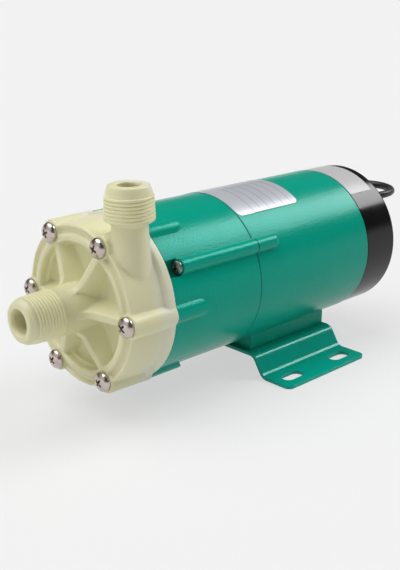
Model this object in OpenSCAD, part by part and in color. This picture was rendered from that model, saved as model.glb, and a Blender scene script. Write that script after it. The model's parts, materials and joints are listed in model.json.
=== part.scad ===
// Magnetic drive pump: a moulded pump end with two threaded nozzles, a magnet
// coupling through a sealed rear casing, and a closed motor on a bent steel base.
// +X runs along the shaft from the suction nozzle to the motor, -Y is the side of
// the discharge nozzle, +Z is up. The origin lies on the floor between the four slots.

/* [Layout] */
// Height of the pump axis above the floor
axis_h = 62; // [60:1:72]
// Outer diameter of the bracket and of the motor housing
body_d = 92.6; // [92:0.2:98]
// Length of the front casing behind its screw seats
casing_len = 28; // [27.5:0.5:34]
// Length of the bracket between casing and motor
bracket_len = 65; // [64:1:80]
// Length of the motor housing
housing_len = 99; // [97:1:130]
// Length of the rear cover
cover_len = 29; // [28:1:40]
// Distance from the bracket's rear face to the middle of the base
base_setback = 47; // [45:1:50]

/* [Nozzles] */
// Reach of the suction nozzle in front of the screw seats
nozzle_reach = 36.5; // [35:0.5:46]
// Outer diameter of the pipe thread on both nozzles
thread_d = 26.44; // [26:0.02:27]
// Length of the threaded part of each nozzle
thread_len = 16; // [14:0.5:17]
// Length of the tapered lead-in before the suction thread
lead_in = 4.5; // [3:0.5:5]
// Length of the tapered lead-in before the discharge thread
discharge_lead = 2; // [1.5:0.5:5]
// Diameter of each nozzle's front rim
rim_d = 22; // [20:0.5:23]
// Bore of the suction nozzle
suction_bore_d = 13.5; // [12:0.5:16]
// Bore of the discharge nozzle
discharge_bore_d = 12; // [10.5:0.5:14]
// Discharge axis beside the pump axis
discharge_offset = 29.5; // [29:0.25:30]
// Discharge axis behind the screw seats
discharge_station = 13; // [12.6:0.2:13.6]
// Height of the discharge rim above the pump axis
discharge_h = 68.5; // [67:0.5:80]
// Outer diameter of the discharge pipe below its thread
pipe_d = 19; // [18:0.5:20]
// Bore of the passage that rises from the chamber to the discharge
throat_d = 9; // [8:0.2:9.2]

/* [Front casing] */
// How far the screw circle lies inside the body's surface
screw_inset = 4.3; // [4:0.1:4.6]
// How far the rear flange of the casing stands out past the bracket
flange_lip = 1.1; // [0.5:0.1:2]
// Length of that rear flange
flange_band = 5; // [4:0.5:7]
// Depth of the recess round the suction nozzle
recess_depth = 7.7; // [6:0.1:8]
// Thickness of the wall between recess and chamber
front_wall = 3.3; // [3:0.1:3.4]
// Width of the raised ring round the recess
ring_w = 4; // [3:0.2:5]
// Radius of the screw bosses
boss_r = 6.6; // [6.2:0.1:7]
// How far the bosses' middles lie outside the screw circle
boss_out = 0.8; // [0.4:0.1:1.2]
// Thickness of the six ribs at the crest
rib_crest = 4; // [3:0.2:5]
// Thickness of the six ribs at the recess floor, beside the ring
rib_root = 9.8; // [8:0.2:11]
// Height of the ribs at the nozzle, in front of the screw seats
rib_rise = 9; // [6:0.5:12]
// Diameter of the casing screws
screw_d = 5; // [4:0.5:5]
// Diameter of the casing screws' heads
screw_head_d = 11.2; // [9:0.2:12]
// Height of the casing screws' heads
screw_head_h = 4.25; // [3:0.25:5]

/* [Wet end] */
// Diameter of the impeller
impeller_d = 58; // [50:1:60]
// Number of impeller vanes
vane_count = 6; // [4:1:8]
// Height of the impeller vanes
vane_h = 6.2; // [4:0.2:6.6]
// Diameter of the ceramic spindle
spindle_d = 8; // [7:0.5:9]
// Wall of the sliding bush on the spindle
bush_wall = 2.4; // [2:0.2:3]
// Diameter of the impeller's magnet capsule
capsule_d = 39.6; // [38:0.2:40]
// Length of the magnet capsule
capsule_len = 34.5; // [32:0.5:36]
// Thickness of the inner magnet ring
inner_magnet_t = 6; // [5:0.2:7]
// Wall of the rear casing's cup
cup_wall = 1.6; // [1.4:0.1:2]
// Thickness of the rear casing's flange
rear_flange_t = 4; // [3.5:0.1:4.2]
// Cord thickness of the casing seal
seal_d = 2.5; // [2:0.1:2.6]

/* [Magnet coupling] */
// Thickness of the drive magnets
drive_magnet_t = 5.2; // [4:0.2:5.6]
// Length of the drive magnets
drive_magnet_len = 28; // [24:1:30]
// Number of drive magnets round the yoke
drive_magnet_count = 8; // [6:2:12]
// Wall of the steel yoke
yoke_wall = 3; // [2.4:0.2:3.2]
// Length of the yoke's hub
hub_len = 13; // [11:0.5:15]

/* [Bracket] */
// Wall of the bracket
bracket_wall = 4; // [3:0.2:4.4]
// Thickness of the bracket's front wall
bracket_front = 10; // [9:0.5:11]
// Radius of the long ridges over the bracket screws
ridge_r = 4.3; // [4:0.1:5]
// Diameter of the bracket screws
tie_d = 4; // [3:0.5:4]
// Length of the pads behind the casing screws
green_boss_len = 22; // [16:1:24]
// Depth of the notch in front of each bracket screw
notch_len = 8.5; // [7:0.5:9.5]
// How far the ridges run on along the motor housing
ridge_on_housing = 19; // [15:1:22]

/* [Motor] */
// Wall of the motor housing
housing_wall = 3.2; // [2.6:0.2:3.4]
// Length of the stator core
stack_len = 48; // [40:1:50]
// Bore of the stator core
stator_bore_d = 48; // [44:1:50]
// Number of stator slots
slot_count = 24; // [12:12:24]
// Air gap between stator and rotor
air_gap = 0.35; // [0.3:0.05:0.6]
// Reach of the end windings past the core
winding_reach = 10; // [8:0.5:10]
// Shaft diameter in the bearings
bearing_bore_d = 12; // [11.5:0.5:12.5]
// Outer diameter of the bearings
bearing_d = 32; // [31:0.5:34]
// Width of the bearings
bearing_w = 10; // [9:0.5:10]
// Shaft diameter in the yoke's hub
shaft_end_d = 8; // [7:0.5:9]

/* [Rear cover] */
// Diameter of the rear cover
cover_d = 91.8; // [91:0.2:92]
// Wall of the rear cover
cover_wall = 2.5; // [2:0.1:3]
// Length of the tapered cable sleeve behind the cover
sleeve_len = 22; // [20:1:30]

/* [Base] */
// Thickness of the base plate
plate_t = 2; // [1.5:0.1:2.5]
// Overall width of the base plate
base_w = 120; // [116:1:126]
// Length of the base plate
base_len = 72; // [70:1:76]
// Height from the saddle's underside to the pump axis
saddle_drop = 48; // [47:0.5:50]
// Width of the saddle under the motor
saddle_w = 50; // [48:1:54]
// Length of the saddle under the motor
saddle_len = 67; // [62:1:70]
// How far the saddle lies behind the middle of the base
saddle_shift = 1.5; // [0:0.5:2]
// Spacing of the slots along the pump
slot_pitch_x = 44; // [40:1:46]
// Spacing of the slots across the pump
slot_pitch_y = 100; // [98:1:104]
// Width of the slots
slot_w = 8; // [6:0.5:9]
// Overall length of the slots
slot_len = 16; // [12:0.5:18]
// Slope of the base plate's webs
web_angle = 57; // [50:1:65]

/* [Clearances] */
// Radial gap between pieces that are pushed together
seat_gap = 0.05; // [0.03:0.01:0.08]
// Radial running gap of the bush on the spindle
run_gap = 0.05; // [0.03:0.01:0.08]
// Gap round the impeller and the magnet capsule
water_gap = 1.2; // [1:0.1:1.3]
// Gap between the rear casing's cup and the drive magnets
magnet_gap = 1; // [0.8:0.1:1.2]
// Radial gap of a screw in its clearance hole
screw_gap = 0.25; // [0.2:0.05:0.3]

/* [Hidden] */

$fn = 64;
screw_count = 6;
tie_clock = [30, 150, 270];
eps = 0.01;

// Stations along the pump axis, counted from the screw seats of the front casing
casing_end = casing_len;
seam = casing_end + bracket_len;
housing_end = seam + housing_len;
cover_end = housing_end + cover_len;
base_mid = seam + base_setback;
base_front = base_mid - base_len / 2;

// Radii that follow from the body and its screw circle
body_r = body_d / 2;
flange_r = body_r + flange_lip;
screw_circle = body_r - screw_inset;
ring_out = screw_circle - 3;
ring_in = ring_out - ring_w;
recess_r = ring_in - 2;
thread_r = thread_d / 2;
rim_r = rim_d / 2;
pipe_r = pipe_d / 2;
neck_r = thread_r - 0.4;
neck_end = 4;
thread_foot = discharge_h - discharge_lead - thread_len;

// Chamber, flange seat and seal of the pump end
flange_land = 1.2;
rear_flange_r = screw_circle - screw_d / 2 - flange_land;
seat_r = rear_flange_r + seat_gap;
flange_front = casing_end - rear_flange_t;
seal_r = rear_flange_r - 2;
seal_groove_w = seal_d + 0.7;
chamber_r = seal_r - seal_groove_w / 2 - 0.6;
tongue_gap = 2.1;
volute_growth = chamber_r - tongue_gap - impeller_d / 2;
tongue_clock = 62;
chamber_front = recess_depth + front_wall;
mouth_pocket_r = 12.2;
mouth_ring_t = 1.8;
mouth_ring_len = 4.5;
eye_r = 9.6;

// Stack on the spindle, from the spider in the suction way to the rear casing
spindle_r = spindle_d / 2;
spider_r = spindle_r + 1.8;
spider_front = chamber_front - 12;
spider_back = chamber_front - 3;
spindle_socket = 5;
thrust_t = 1.8;
thrust_play = 0.2;
bush_r = spindle_r + bush_wall;
bush_front = spider_back + thrust_t + thrust_play;
shroud_t = 1.8;
shroud_front = chamber_front + 1;
vane_front = shroud_front + shroud_t;
vane_back = vane_front + vane_h;
disc_t = 2.5;
disc_back = vane_back + disc_t;
capsule_r = capsule_d / 2;
capsule_end = disc_back + capsule_len;
capsule_skin = 1.6;
capsule_cap_t = 3;
magnet_front = disc_back + 3.5;
magnet_out = capsule_r - capsule_skin;
magnet_in = magnet_out - inner_magnet_t;
washer_front = capsule_end + thrust_play;
boss_front = washer_front + thrust_t;
cup_r = capsule_r + water_gap;
cup_out = cup_r + cup_wall;
cup_floor = boss_front + 3.5;
cup_end_t = 3.2;
cup_end = cup_floor + cup_end_t;
spindle_front = spider_back - spindle_socket;
spindle_back = cup_floor + 1.4;

// Magnet coupling behind the cup
drive_in = cup_out + magnet_gap;
drive_out = drive_in + drive_magnet_t;
yoke_r = drive_out + yoke_wall;
yoke_plate = cup_end + 2.2;
yoke_plate_t = 4;
yoke_hub_r = 11;
yoke_front = casing_end + 3;
drive_magnet_front = yoke_front + 2;
hub_end = yoke_plate + yoke_plate_t + hub_len;
set_screw_d = 5;
set_screw_station = yoke_plate + yoke_plate_t + hub_len / 2;

// Bracket and its screws
bracket_in = body_r - bracket_wall;
clamp_r = rear_flange_r - 2.3;
insert_r = screw_d / 2 + 0.9;
insert_len = bracket_front - 0.5;
screw_short = 1.5;
green_boss_r = boss_r - 0.5;
tie_circle = body_r - 0.3;
tie_head_d = 7.4;
tie_head_h = 2.8;
tie_seat = casing_end + notch_len;
tie_end = base_front - 3;
tie_short = 1;
bottom_clock = 270;
bracket_taper = seam - 12;

// Ridges end along the housing, the lowest one in front of the base plate
function ridge_end(angle) = angle == bottom_clock ? base_front - 1 : seam + ridge_on_housing;

// Motor, from the bracket's spigot to the rear cover's lip
housing_in = body_r - housing_wall;
spigot_len = 3;
spigot_r = housing_in - seat_gap;
spigot_in = spigot_r - 2.4;
shield_t = 4;
shield_hub_r = bearing_d / 2 + 4;
front_shield = seam + spigot_len;
rear_shield = housing_end - spigot_len - 1;
front_bearing = front_shield + shield_t;
washer_t = 1.5;
rear_bearing = rear_shield - shield_t - washer_t - bearing_w;
bearing_r = bearing_d / 2;
bore_r = bearing_bore_d / 2;
ball_r = (bearing_r - bore_r) * 0.295;
ball_circle = (bearing_r + bore_r) / 2;
ball_count = 7;
ball_gap = 0.05;
land_gap = 0.75 * ball_r;
stack_mid = (front_shield + rear_shield) / 2;
stack_front = stack_mid - stack_len / 2;
stack_back = stack_mid + stack_len / 2;
stator_bore = stator_bore_d / 2;
rotor_r = stator_bore - air_gap;
slot_depth = 11;
end_ring_t = 4;
core_shaft_r = bore_r + 2;
shaft_way = 1;
shaft_end_gap = 0.6;
shaft_front = yoke_plate + 0.5;
shaft_back = rear_bearing + bearing_w + 1;

// Rear cover and what it holds
cover_r = cover_d / 2;
cover_back = cover_end - cover_wall;
pillar_r = 4;
pillar_circle = 36;
cover_screw_d = 4;
cover_head_d = 7;
cover_head_h = 1.9;
head_pocket = 2;
sleeve_side = 20;
sleeve_up = 26;
sleeve_neck_r = 5;
cap_size = [22, 40, 17];
cap_drop = 14;
strap_t = 1;
clip_screw_d = 3;
clip_head_d = 5.6;
clip_head_h = 2;
clip_screw_y = cap_size[1] / 2 + 4;
block_size = [11, 32, 13];
block_rise = 4;

// Base plate, saddle and screws
plate_top = axis_h - saddle_drop;
plate_bend = 4.5;
top_half = 28;
corner_r = 4;
base_screw_x = saddle_len / 2 - 10;
base_screw_y = saddle_w / 2 - 5;
base_screw_d = 5;
base_head_d = 9.2;
base_head_h = 3.2;
base_screw_reach = 7;

// Supply cord of a standard size: hand-chosen points from the sleeve's tip to the coil on the floor
cord_d = 5;
sleeve_tip = [cover_end + sleeve_len - base_mid, sleeve_side, axis_h + sleeve_up];
lead_drawn = [[103, 20, 88], [111, 19, 88], [118, 14.5, 88], [122.5, 7.5, 88], [124, -1, 88],
    [121.5, -10, 88], [115, -17, 88], [106, -20, 88], [97, -18.5, 87.6], [90, -13, 87], [86, -5, 86],
    [86, 5, 83], [87, 16, 79], [88.5, 27, 75.5], [89, 37, 70.5], [88.5, 46, 63], [87, 53, 52],
    [84, 58.5, 40], [79.5, 63, 28.5], [73, 67, 18.5], [64.5, 71, 10.5], [54.5, 74.5, 5.8],
    [44, 77.5, 4], [33, 80, 3.6], [22, 82, 3.5], [11, 83, 3.5], [0, 83, 3.5]];
lead_hung = 15;
lead_laid = 24;
function lead_share(i) = max(0, min(1, (lead_laid - i) / (lead_laid - lead_hung)));
lead_points = [for (i = [0:len(lead_drawn) - 1])
    lead_drawn[i] + (sleeve_tip - lead_drawn[0]) * lead_share(i)];
tail_points = [[0, 149, 8.5], [10, 149, 8.6], [20, 149, 9.2], [30, 149, 10], [40, 149, 10]];
coil_at = [0, 116];
coil_turns_wide = 3;
coil_turns_high = 2;
coil_r = 28;
tie_t = 0.8;
tie_w = 8;
coil_low = 1;
plug_at = [40, 149, 10];
plug_size = [34, 28, 20];
pin_size = [16, 1.6, 6.4];

ivory = "#e3e0bd";
green = "#0f9d7c";
steel = "#c9ccce";
black = "#1c1c1c";

// A point on the pump axis, with the local z axis pointing to the motor
module on_axis(station) {
    translate([station - base_mid, 0, axis_h])
        rotate([0, 90, 0])
            children();
}

// Turns about the pump axis: 0 is the discharge side, 90 is the top
module clock(angle) {
    rotate([0, 0, -90 - angle])
        children();
}

// A round tube along the pump axis
module tube(from, to, outer, inner) {
    on_axis(from)
        difference() {
            cylinder(h = to - from, r = outer);
            translate([0, 0, -1])
                cylinder(h = to - from + 2, r = inner);
        }
}

// A profile of radius and station, turned about the pump axis
module turned(points) {
    on_axis(0)
        rotate_extrude()
            polygon(points);
}

// A rod on a circle round the pump axis
module rod(angle, circle, from, to, r) {
    on_axis(from)
        clock(angle)
            translate([circle, 0, 0])
                cylinder(h = to - from, r = r);
}

// A pan head with a domed top, its seat at z = 0 and its top towards -z
module pan_head(head_r, head_h) {
    dome = (head_r * head_r + head_h * head_h) / (2 * head_h) * 1.12;
    rotate_extrude()
        intersection() {
            translate([0, -head_h])
                square([head_r, head_h]);
            translate([0, dome - head_h])
                circle(r = dome);
        }
}

// Points of an arc, for outlines
function arc(centre, r, from, to, steps = 4) =
    [for (i = [0:steps]) centre + r * [cos(from + (to - from) * i / steps),
        sin(from + (to - from) * i / steps)]];

// The turned drum of the front casing, with its ring, groove, lip and rear flange
module casing_drum() {
    groove = 2.2;
    lip_in = screw_circle + 0.6;
    lip_out = body_r - 1.9;
    drum_r = body_r - 0.7;
    band = casing_end - flange_band;
    turned(concat([[0, casing_end], [0, 0]],
        arc([ring_out - 0.9, 0.9], 0.9, -90, 0),
        arc([ring_out + 1, groove - 1], 1, 180, 90),
        arc([lip_in - 1, groove - 1], 1, 90, 30),
        arc([lip_out - 0.9, 1.5], 0.9, -135, -10),
        [[drum_r, band - 0.8], [flange_r - 0.5, band]],
        arc([flange_r - 0.6, band + 0.8], 0.6, -60, 0, 4),
        [[flange_r, casing_end]]));
}

// The hollow in front of the casing's wall, round the suction nozzle
module casing_recess() {
    step = recess_depth * 0.55;
    turned(concat([[0, -nozzle_reach], [ring_in + 1, -nozzle_reach], [ring_in + 1, 0]],
        arc([ring_in + 1, 1], 1, -90, -180),
        [[ring_in - 0.4, step], [recess_r + 0.4, step]],
        arc([recess_r - 1.6, recess_depth - 1.6], 1.6, 0, 90),
        [[0, recess_depth]]));
}

// The suction nozzle with its lead-in, thread barrel and neck
module suction_nozzle() {
    front = -nozzle_reach;
    thread_end = front + lead_in + thread_len;
    root_r = neck_r + 2.4;
    turned(concat([[0, chamber_front], [0, front]],
        arc([rim_r - 0.9, front + 0.9], 0.9, -90, -20, 4),
        [[thread_r, front + lead_in], [thread_r, thread_end], [neck_r, thread_end + 0.8],
            [neck_r + 0.3, neck_end - 2]],
        arc([neck_r + 0.3 + recess_depth - neck_end, neck_end - 0.6],
            recess_depth - neck_end, 180, 90),
        [[root_r + 2, recess_depth + 1], [root_r + 2, chamber_front]]));
}

// Six drafted ribs from the nozzle out to the screws, wider where they stand higher
module casing_ribs() {
    root = recess_depth + 1;
    bend = 6;
    bend_end = 112;
    edge = [ring_in + 1.2, 0.6];
    knee = [neck_r + 0.4 + bend + bend * cos(bend_end), -rib_rise + bend * sin(bend_end)];
    fall = atan2(edge[1] - knee[1], edge[0] - knee[0]);
    draft = (rib_root - rib_crest) / 2 / (recess_depth - edge[1]);
    deep = root + rib_rise;
    foot = rib_crest / 2 + draft * deep;
    for (i = [0:screw_count - 1])
        on_axis(0)
            clock(i * 360 / screw_count)
                intersection() {
                    rotate([90, 0, 0])
                        linear_extrude(height = 3 * foot, center = true)
                            polygon(concat([[neck_r - 3, root], [neck_r - 3, -rib_rise]],
                                arc([neck_r + 0.4 + bend, -rib_rise], bend, 180, bend_end, 6),
                                [edge, [edge[0], root]]));
                    translate([knee[0], 0, knee[1]])
                        rotate([0, -fall, 0])
                            rotate([90, 0, 90])
                                linear_extrude(height = 2 * body_r, center = true)
                                    polygon([[-foot, deep], [foot, deep], [rib_crest / 2, 0],
                                        [rib_crest / 2, -deep], [-rib_crest / 2, -deep],
                                        [-rib_crest / 2, 0]]);
                }
}

// Tapered bosses that carry the casing screws
module casing_bosses() {
    for (i = [0:screw_count - 1])
        on_axis(0)
            clock(i * 360 / screw_count)
                translate([screw_circle + boss_out, 0, 0])
                    cylinder(h = casing_end, r1 = boss_r - 0.4, r2 = boss_r);
}

// Stands a shape upright on the discharge axis, z counted from the pump axis
module on_discharge(station = discharge_station) {
    translate([station - base_mid, -discharge_offset, axis_h])
        children();
}

// The discharge pipe with its shoulder, thread barrel, lead-in and flared foot
module discharge_pipe() {
    shoulder = thread_r - pipe_r;
    foot = 12;
    on_discharge()
        rotate_extrude()
            polygon(concat([[0, foot], [pipe_r + 1.2, foot], [pipe_r + 0.5, 34]],
                [[pipe_r, thread_foot - shoulder * 0.5], [thread_r - 0.6, thread_foot - 0.2]],
                [[thread_r, thread_foot + 0.4], [thread_r, discharge_h - discharge_lead]],
                arc([rim_r - 0.9, discharge_h - 0.9], 0.9, 20, 90, 4),
                [[0, discharge_h]]));
}

// Radius of the chamber wall, growing with the flow from the tongue to the discharge
function volute_r(angle) = chamber_r - volute_growth * (1 - (angle - tongue_clock) / 360);

// The volute chamber between the front wall and the rear casing's flange
module volute_chamber() {
    on_axis(chamber_front)
        linear_extrude(height = flange_front - chamber_front + eps)
            polygon([for (a = [tongue_clock:12:tongue_clock + 360])
                volute_r(a) * [cos(-90 - a), sin(-90 - a)]]);
}

// Suction bore, its flare round the spider, and the pocket of the mouth ring
module suction_way() {
    flare = spider_front - 9;
    turned([[0, -nozzle_reach - 1], [suction_bore_d / 2, -nozzle_reach - 1],
        [suction_bore_d / 2, flare], [eye_r, spider_front - 1], [eye_r, chamber_front - mouth_ring_len],
        [mouth_pocket_r, chamber_front - mouth_ring_len], [mouth_pocket_r, chamber_front + 1],
        [0, chamber_front + 1]]);
}

// The discharge passage: throat in the chamber, riser, and the wider bore in the nozzle
module discharge_way() {
    throat_r = throat_d / 2;
    mouth_r = discharge_bore_d / 2;
    on_discharge()
        rotate_extrude()
            polygon([[0, 16], [throat_r, 16], [throat_r, thread_foot - 6], [mouth_r, thread_foot],
                [mouth_r, discharge_h + 1], [0, discharge_h + 1]]);
    on_discharge(chamber_front + throat_r)
        cylinder(h = 18, r = throat_r);
}

// Three-legged spider in the suction way that holds the spindle
module spider() {
    leg_w = 2.2;
    legs = 3;
    difference() {
        union() {
            turned([[0, spider_front - 3], [spider_r - 2.4, spider_front - 2.2],
                [spider_r, spider_front + 1.5], [spider_r, spider_back], [0, spider_back]]);
            for (i = [0:legs - 1])
                on_axis(spider_front)
                    clock(90 + i * 360 / legs)
                        translate([0, -leg_w / 2, 0])
                            cube([eye_r + 0.5, leg_w, 4.5]);
        }
        tube(spindle_front, spider_back + 1, spindle_r + seat_gap, 0);
    }
}

module front_casing() {
    color(ivory)
        union() {
            difference() {
                union() {
                    difference() {
                        union() {
                            casing_drum();
                            casing_bosses();
                            discharge_pipe();
                        }
                        casing_recess();
                    }
                    suction_nozzle();
                    casing_ribs();
                }
                suction_way();
                volute_chamber();
                discharge_way();
                tube(flange_front, casing_end + 1, seat_r, 0);
                tube(flange_front - seal_d, flange_front + eps, seal_r + seal_groove_w / 2,
                    seal_r - seal_groove_w / 2);
                for (i = [0:screw_count - 1])
                    rod(i * 360 / screw_count, screw_circle, -1, casing_end + 1,
                        screw_d / 2 + screw_gap);
            }
            spider();
        }
}

module casing_screws() {
    color(steel)
        for (i = [0:screw_count - 1])
            on_axis(0)
                clock(i * 360 / screw_count)
                    translate([screw_circle, 0, 0]) {
                        pan_head(screw_head_d / 2, screw_head_h);
                        translate([0, 0, -eps])
                            cylinder(h = casing_end + insert_len - screw_short, r = screw_d / 2);
                    }
}

module threaded_inserts() {
    color("#b8963c")
        for (i = [0:screw_count - 1])
            on_axis(casing_end)
                clock(i * 360 / screw_count)
                    translate([screw_circle, 0, 0])
                        difference() {
                            cylinder(h = insert_len, r = insert_r);
                            translate([0, 0, -1])
                                cylinder(h = insert_len + 2, r = screw_d / 2 + seat_gap);
                        }
}

module mouth_ring() {
    color("#f2f0ea")
        tube(chamber_front - mouth_ring_len, chamber_front - 0.5, mouth_pocket_r - seat_gap,
            mouth_pocket_r - mouth_ring_t);
}

module front_thrust_ring() {
    color("#f4f1e6")
        tube(spider_back, spider_back + thrust_t, spider_r, spindle_r + seat_gap);
}

// Points along one face of a vane: a spiral that lags behind the turning as it goes out
function vane_face(inner, outer, lag, offset) =
    [for (i = [0:6])
        let (r = inner * pow(outer / inner, i / 6), a = lag * i / 6)
        r * [cos(a), sin(a)] + offset * [-sin(a + 60), cos(a + 60)]];

// One vane, rooted in the disc behind it
module vane() {
    inner = bush_r + 2;
    outer = impeller_d / 2 - 1.2;
    vane_t = 1.8;
    linear_extrude(height = vane_h + 1)
        polygon(concat(vane_face(inner, outer, 62, -vane_t / 2),
            back(vane_face(inner, outer, 62, vane_t / 2))));
}

module impeller() {
    hub_r = bush_r + 2.6;
    color("#d8d5c0")
        difference() {
            union() {
                turned([[0, bush_front + 2], [bush_r + 0.9, bush_front + 2], [hub_r, vane_front + 1],
                    [hub_r + 1.5, vane_back], [impeller_d / 2, vane_back + 0.6],
                    [impeller_d / 2, disc_back], [0, disc_back]]);
                on_axis(vane_front)
                    for (i = [0:vane_count - 1])
                        rotate(i * 360 / vane_count)
                            vane();
            }
            tube(bush_front, disc_back + 1, bush_r + seat_gap, 0);
        }
}

module impeller_shroud() {
    neck_out = mouth_pocket_r - mouth_ring_t - 0.4;
    neck_in = neck_out - 1.4;
    neck_front = chamber_front - mouth_ring_len + 0.4;
    color("#d8d5c0")
        turned([[neck_in, neck_front], [neck_out, neck_front], [neck_out, shroud_front],
            [impeller_d / 2, shroud_front], [impeller_d / 2, vane_front], [neck_in + 1.6, vane_front],
            [neck_in, shroud_front - 0.6]]);
}

module magnet_capsule() {
    color("#3b4a52")
        difference() {
            tube(disc_back, capsule_end, capsule_r, bush_r + seat_gap);
            tube(magnet_front, capsule_end + 1, magnet_out + seat_gap, magnet_in - seat_gap);
        }
}

module capsule_cap() {
    color("#2f3b42")
        tube(capsule_end - capsule_cap_t, capsule_end, magnet_out, magnet_in);
}

module inner_magnet() {
    color("#4a4a4c")
        tube(magnet_front, capsule_end - capsule_cap_t, magnet_out, magnet_in);
}

module impeller_bush() {
    color("#2b2b2d")
        tube(bush_front, capsule_end, bush_r, spindle_r + run_gap);
}

module spindle() {
    color("#f4f1e6")
        on_axis(spindle_front)
            cylinder(h = spindle_back - spindle_front, r = spindle_r);
}

module rear_thrust_washer() {
    color("#f4f1e6")
        tube(washer_front, boss_front, bush_r, spindle_r + seat_gap);
}

module rear_casing() {
    color("#d9d6ba")
        difference() {
            turned([[cup_r, flange_front], [rear_flange_r, flange_front], [rear_flange_r, casing_end],
                [cup_out + 2, casing_end], [cup_out, casing_end + 2], [cup_out, cup_end - 2],
                [cup_out - 2, cup_end], [0, cup_end], [0, boss_front], [bush_r + 0.6, boss_front],
                [bush_r + 0.6, cup_floor], [cup_r - 1.5, cup_floor], [cup_r, cup_floor - 1.5]]);
            tube(boss_front - 1, spindle_back, spindle_r + seat_gap, 0);
        }
}

module casing_seal() {
    color("#26221f")
        on_axis(flange_front - seal_d / 2)
            rotate_extrude()
                translate([seal_r, 0])
                    circle(r = seal_d / 2 - 0.01);
}

module drive_yoke() {
    color("#8d9196")
        difference() {
            turned([[drive_out, yoke_front], [yoke_r, yoke_front],
                [yoke_r, yoke_plate + yoke_plate_t - 1.5], [yoke_r - 1.5, yoke_plate + yoke_plate_t],
                [yoke_hub_r, yoke_plate + yoke_plate_t],
                [yoke_hub_r, hub_end], [shaft_end_d / 2 + seat_gap, hub_end],
                [shaft_end_d / 2 + seat_gap, yoke_plate], [drive_out, yoke_plate]]);
            on_axis(set_screw_station)
                clock(0)
                    rotate([0, 90, 0])
                        cylinder(h = yoke_hub_r + 1, r = set_screw_d / 2 + seat_gap);
        }
}

module drive_magnets() {
    pitch = 360 / drive_magnet_count;
    gap_angle = 3;
    color("#55575a")
        on_axis(drive_magnet_front)
            for (i = [0:drive_magnet_count - 1])
                rotate([0, 0, i * pitch])
                    rotate_extrude(angle = pitch - gap_angle)
                        translate([drive_in, 0])
                            square([drive_magnet_t - seat_gap, drive_magnet_len]);
}

module drive_set_screw() {
    color("#3a3c40")
        on_axis(set_screw_station)
            clock(0)
                rotate([0, 90, 0])
                    translate([0, 0, shaft_end_d / 2 + seat_gap])
                        cylinder(h = yoke_hub_r - shaft_end_d / 2 - 1, r = set_screw_d / 2);
}

// A ridge with a domed rear end, on the circle of the bracket screws
module screw_ridge(angle, from, to, domed) {
    straight = domed ? to - ridge_r : to;
    rod(angle, tie_circle, from, straight, ridge_r);
    if (domed)
        on_axis(straight)
            clock(angle)
                translate([tie_circle, 0, 0])
                    sphere(r = ridge_r);
}

// A pad behind a casing screw: round along the pump, its end rounded as seen from outside
module green_boss() {
    tip = sqrt(pow(green_boss_r, 2) - pow(screw_inset - boss_out, 2)) + 0.4;
    straight = green_boss_len - tip;
    intersection() {
        cylinder(h = green_boss_len + 1, r = green_boss_r);
        translate([0.5, 0, 0])
            rotate([0, 90, 0])
                linear_extrude(height = green_boss_r) {
                    translate([-straight, -tip])
                        square([straight, 2 * tip]);
                    translate([-straight, 0])
                        circle(r = tip);
                }
    }
}

// The bracket's turned drum with its pads and ridges, before its rear face is cut
module bracket_drum() {
    edge = 0.8;
    spare = 2;
    turned([[clamp_r, casing_end], [body_r - edge, casing_end], [body_r, casing_end + edge],
        [body_r, seam + spare], [spigot_in, seam + spare], [spigot_in, seam - 6],
        [bracket_in, bracket_taper], [bracket_in, casing_end + bracket_front],
        [clamp_r, casing_end + bracket_front]]);
    for (i = [0:screw_count - 1])
        on_axis(casing_end)
            clock(i * 360 / screw_count)
                translate([screw_circle + boss_out, 0, 0])
                    green_boss();
    for (a = tie_clock)
        screw_ridge(a, tie_seat - spare, seam + spare, false);
}

module bracket() {
    color(green)
        difference() {
            union() {
                difference() {
                    bracket_drum();
                    on_axis(seam)
                        cylinder(h = spigot_len * 2, r = body_r + 2 * ridge_r);
                }
                tube(seam - 1, seam + spigot_len, spigot_r, spigot_in + 0.3);
            }
            for (i = [0:screw_count - 1])
                rod(i * 360 / screw_count, screw_circle, casing_end - 1,
                    casing_end + bracket_front, insert_r + seat_gap);
            for (a = tie_clock) {
                rod(a, tie_circle, casing_end - 1, tie_seat, ridge_r + 0.4);
                rod(a, tie_circle, casing_end, seam + 1, tie_d / 2 + screw_gap);
            }
        }
}

module bracket_screws() {
    color(steel)
        for (a = tie_clock)
            on_axis(tie_seat)
                clock(a)
                    translate([tie_circle, 0, 0]) {
                        pan_head(tie_head_d / 2, tie_head_h);
                        translate([0, 0, -eps])
                            cylinder(h = tie_end - tie_seat - tie_short, r = tie_d / 2);
                    }
}

module motor_housing() {
    edge = 0.6;
    color(green)
        difference() {
            union() {
                turned([[0, seam], [body_r - edge, seam], [body_r, seam + edge],
                    [body_r, housing_end - edge], [body_r - edge, housing_end], [0, housing_end]]);
                for (a = tie_clock)
                    screw_ridge(a, seam, ridge_end(a), true);
                translate([saddle_shift - saddle_len / 2, -saddle_w / 2, plate_top])
                    cube([saddle_len, saddle_w, axis_h - plate_top]);
            }
            tube(seam - 1, housing_end + 1, housing_in, 0);
            for (a = tie_clock)
                rod(a, tie_circle, seam - 1, tie_end, tie_d / 2 + seat_gap);
            for (x = [-1, 1], y = [-1, 1])
                translate([saddle_shift + x * base_screw_x, y * base_screw_y, plate_top - 1])
                    cylinder(h = base_screw_reach + 1.5, r = base_screw_d / 2 + seat_gap);
        }
}

module front_end_shield() {
    color("#a9adb0")
        turned([[core_shaft_r + shaft_way, front_shield], [spigot_r, front_shield],
            [spigot_r, front_shield + shield_t], [shield_hub_r, front_shield + shield_t],
            [shield_hub_r, front_bearing + bearing_w], [bearing_r + seat_gap, front_bearing + bearing_w],
            [bearing_r + seat_gap, front_bearing], [core_shaft_r + shaft_way, front_bearing]]);
}

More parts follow.
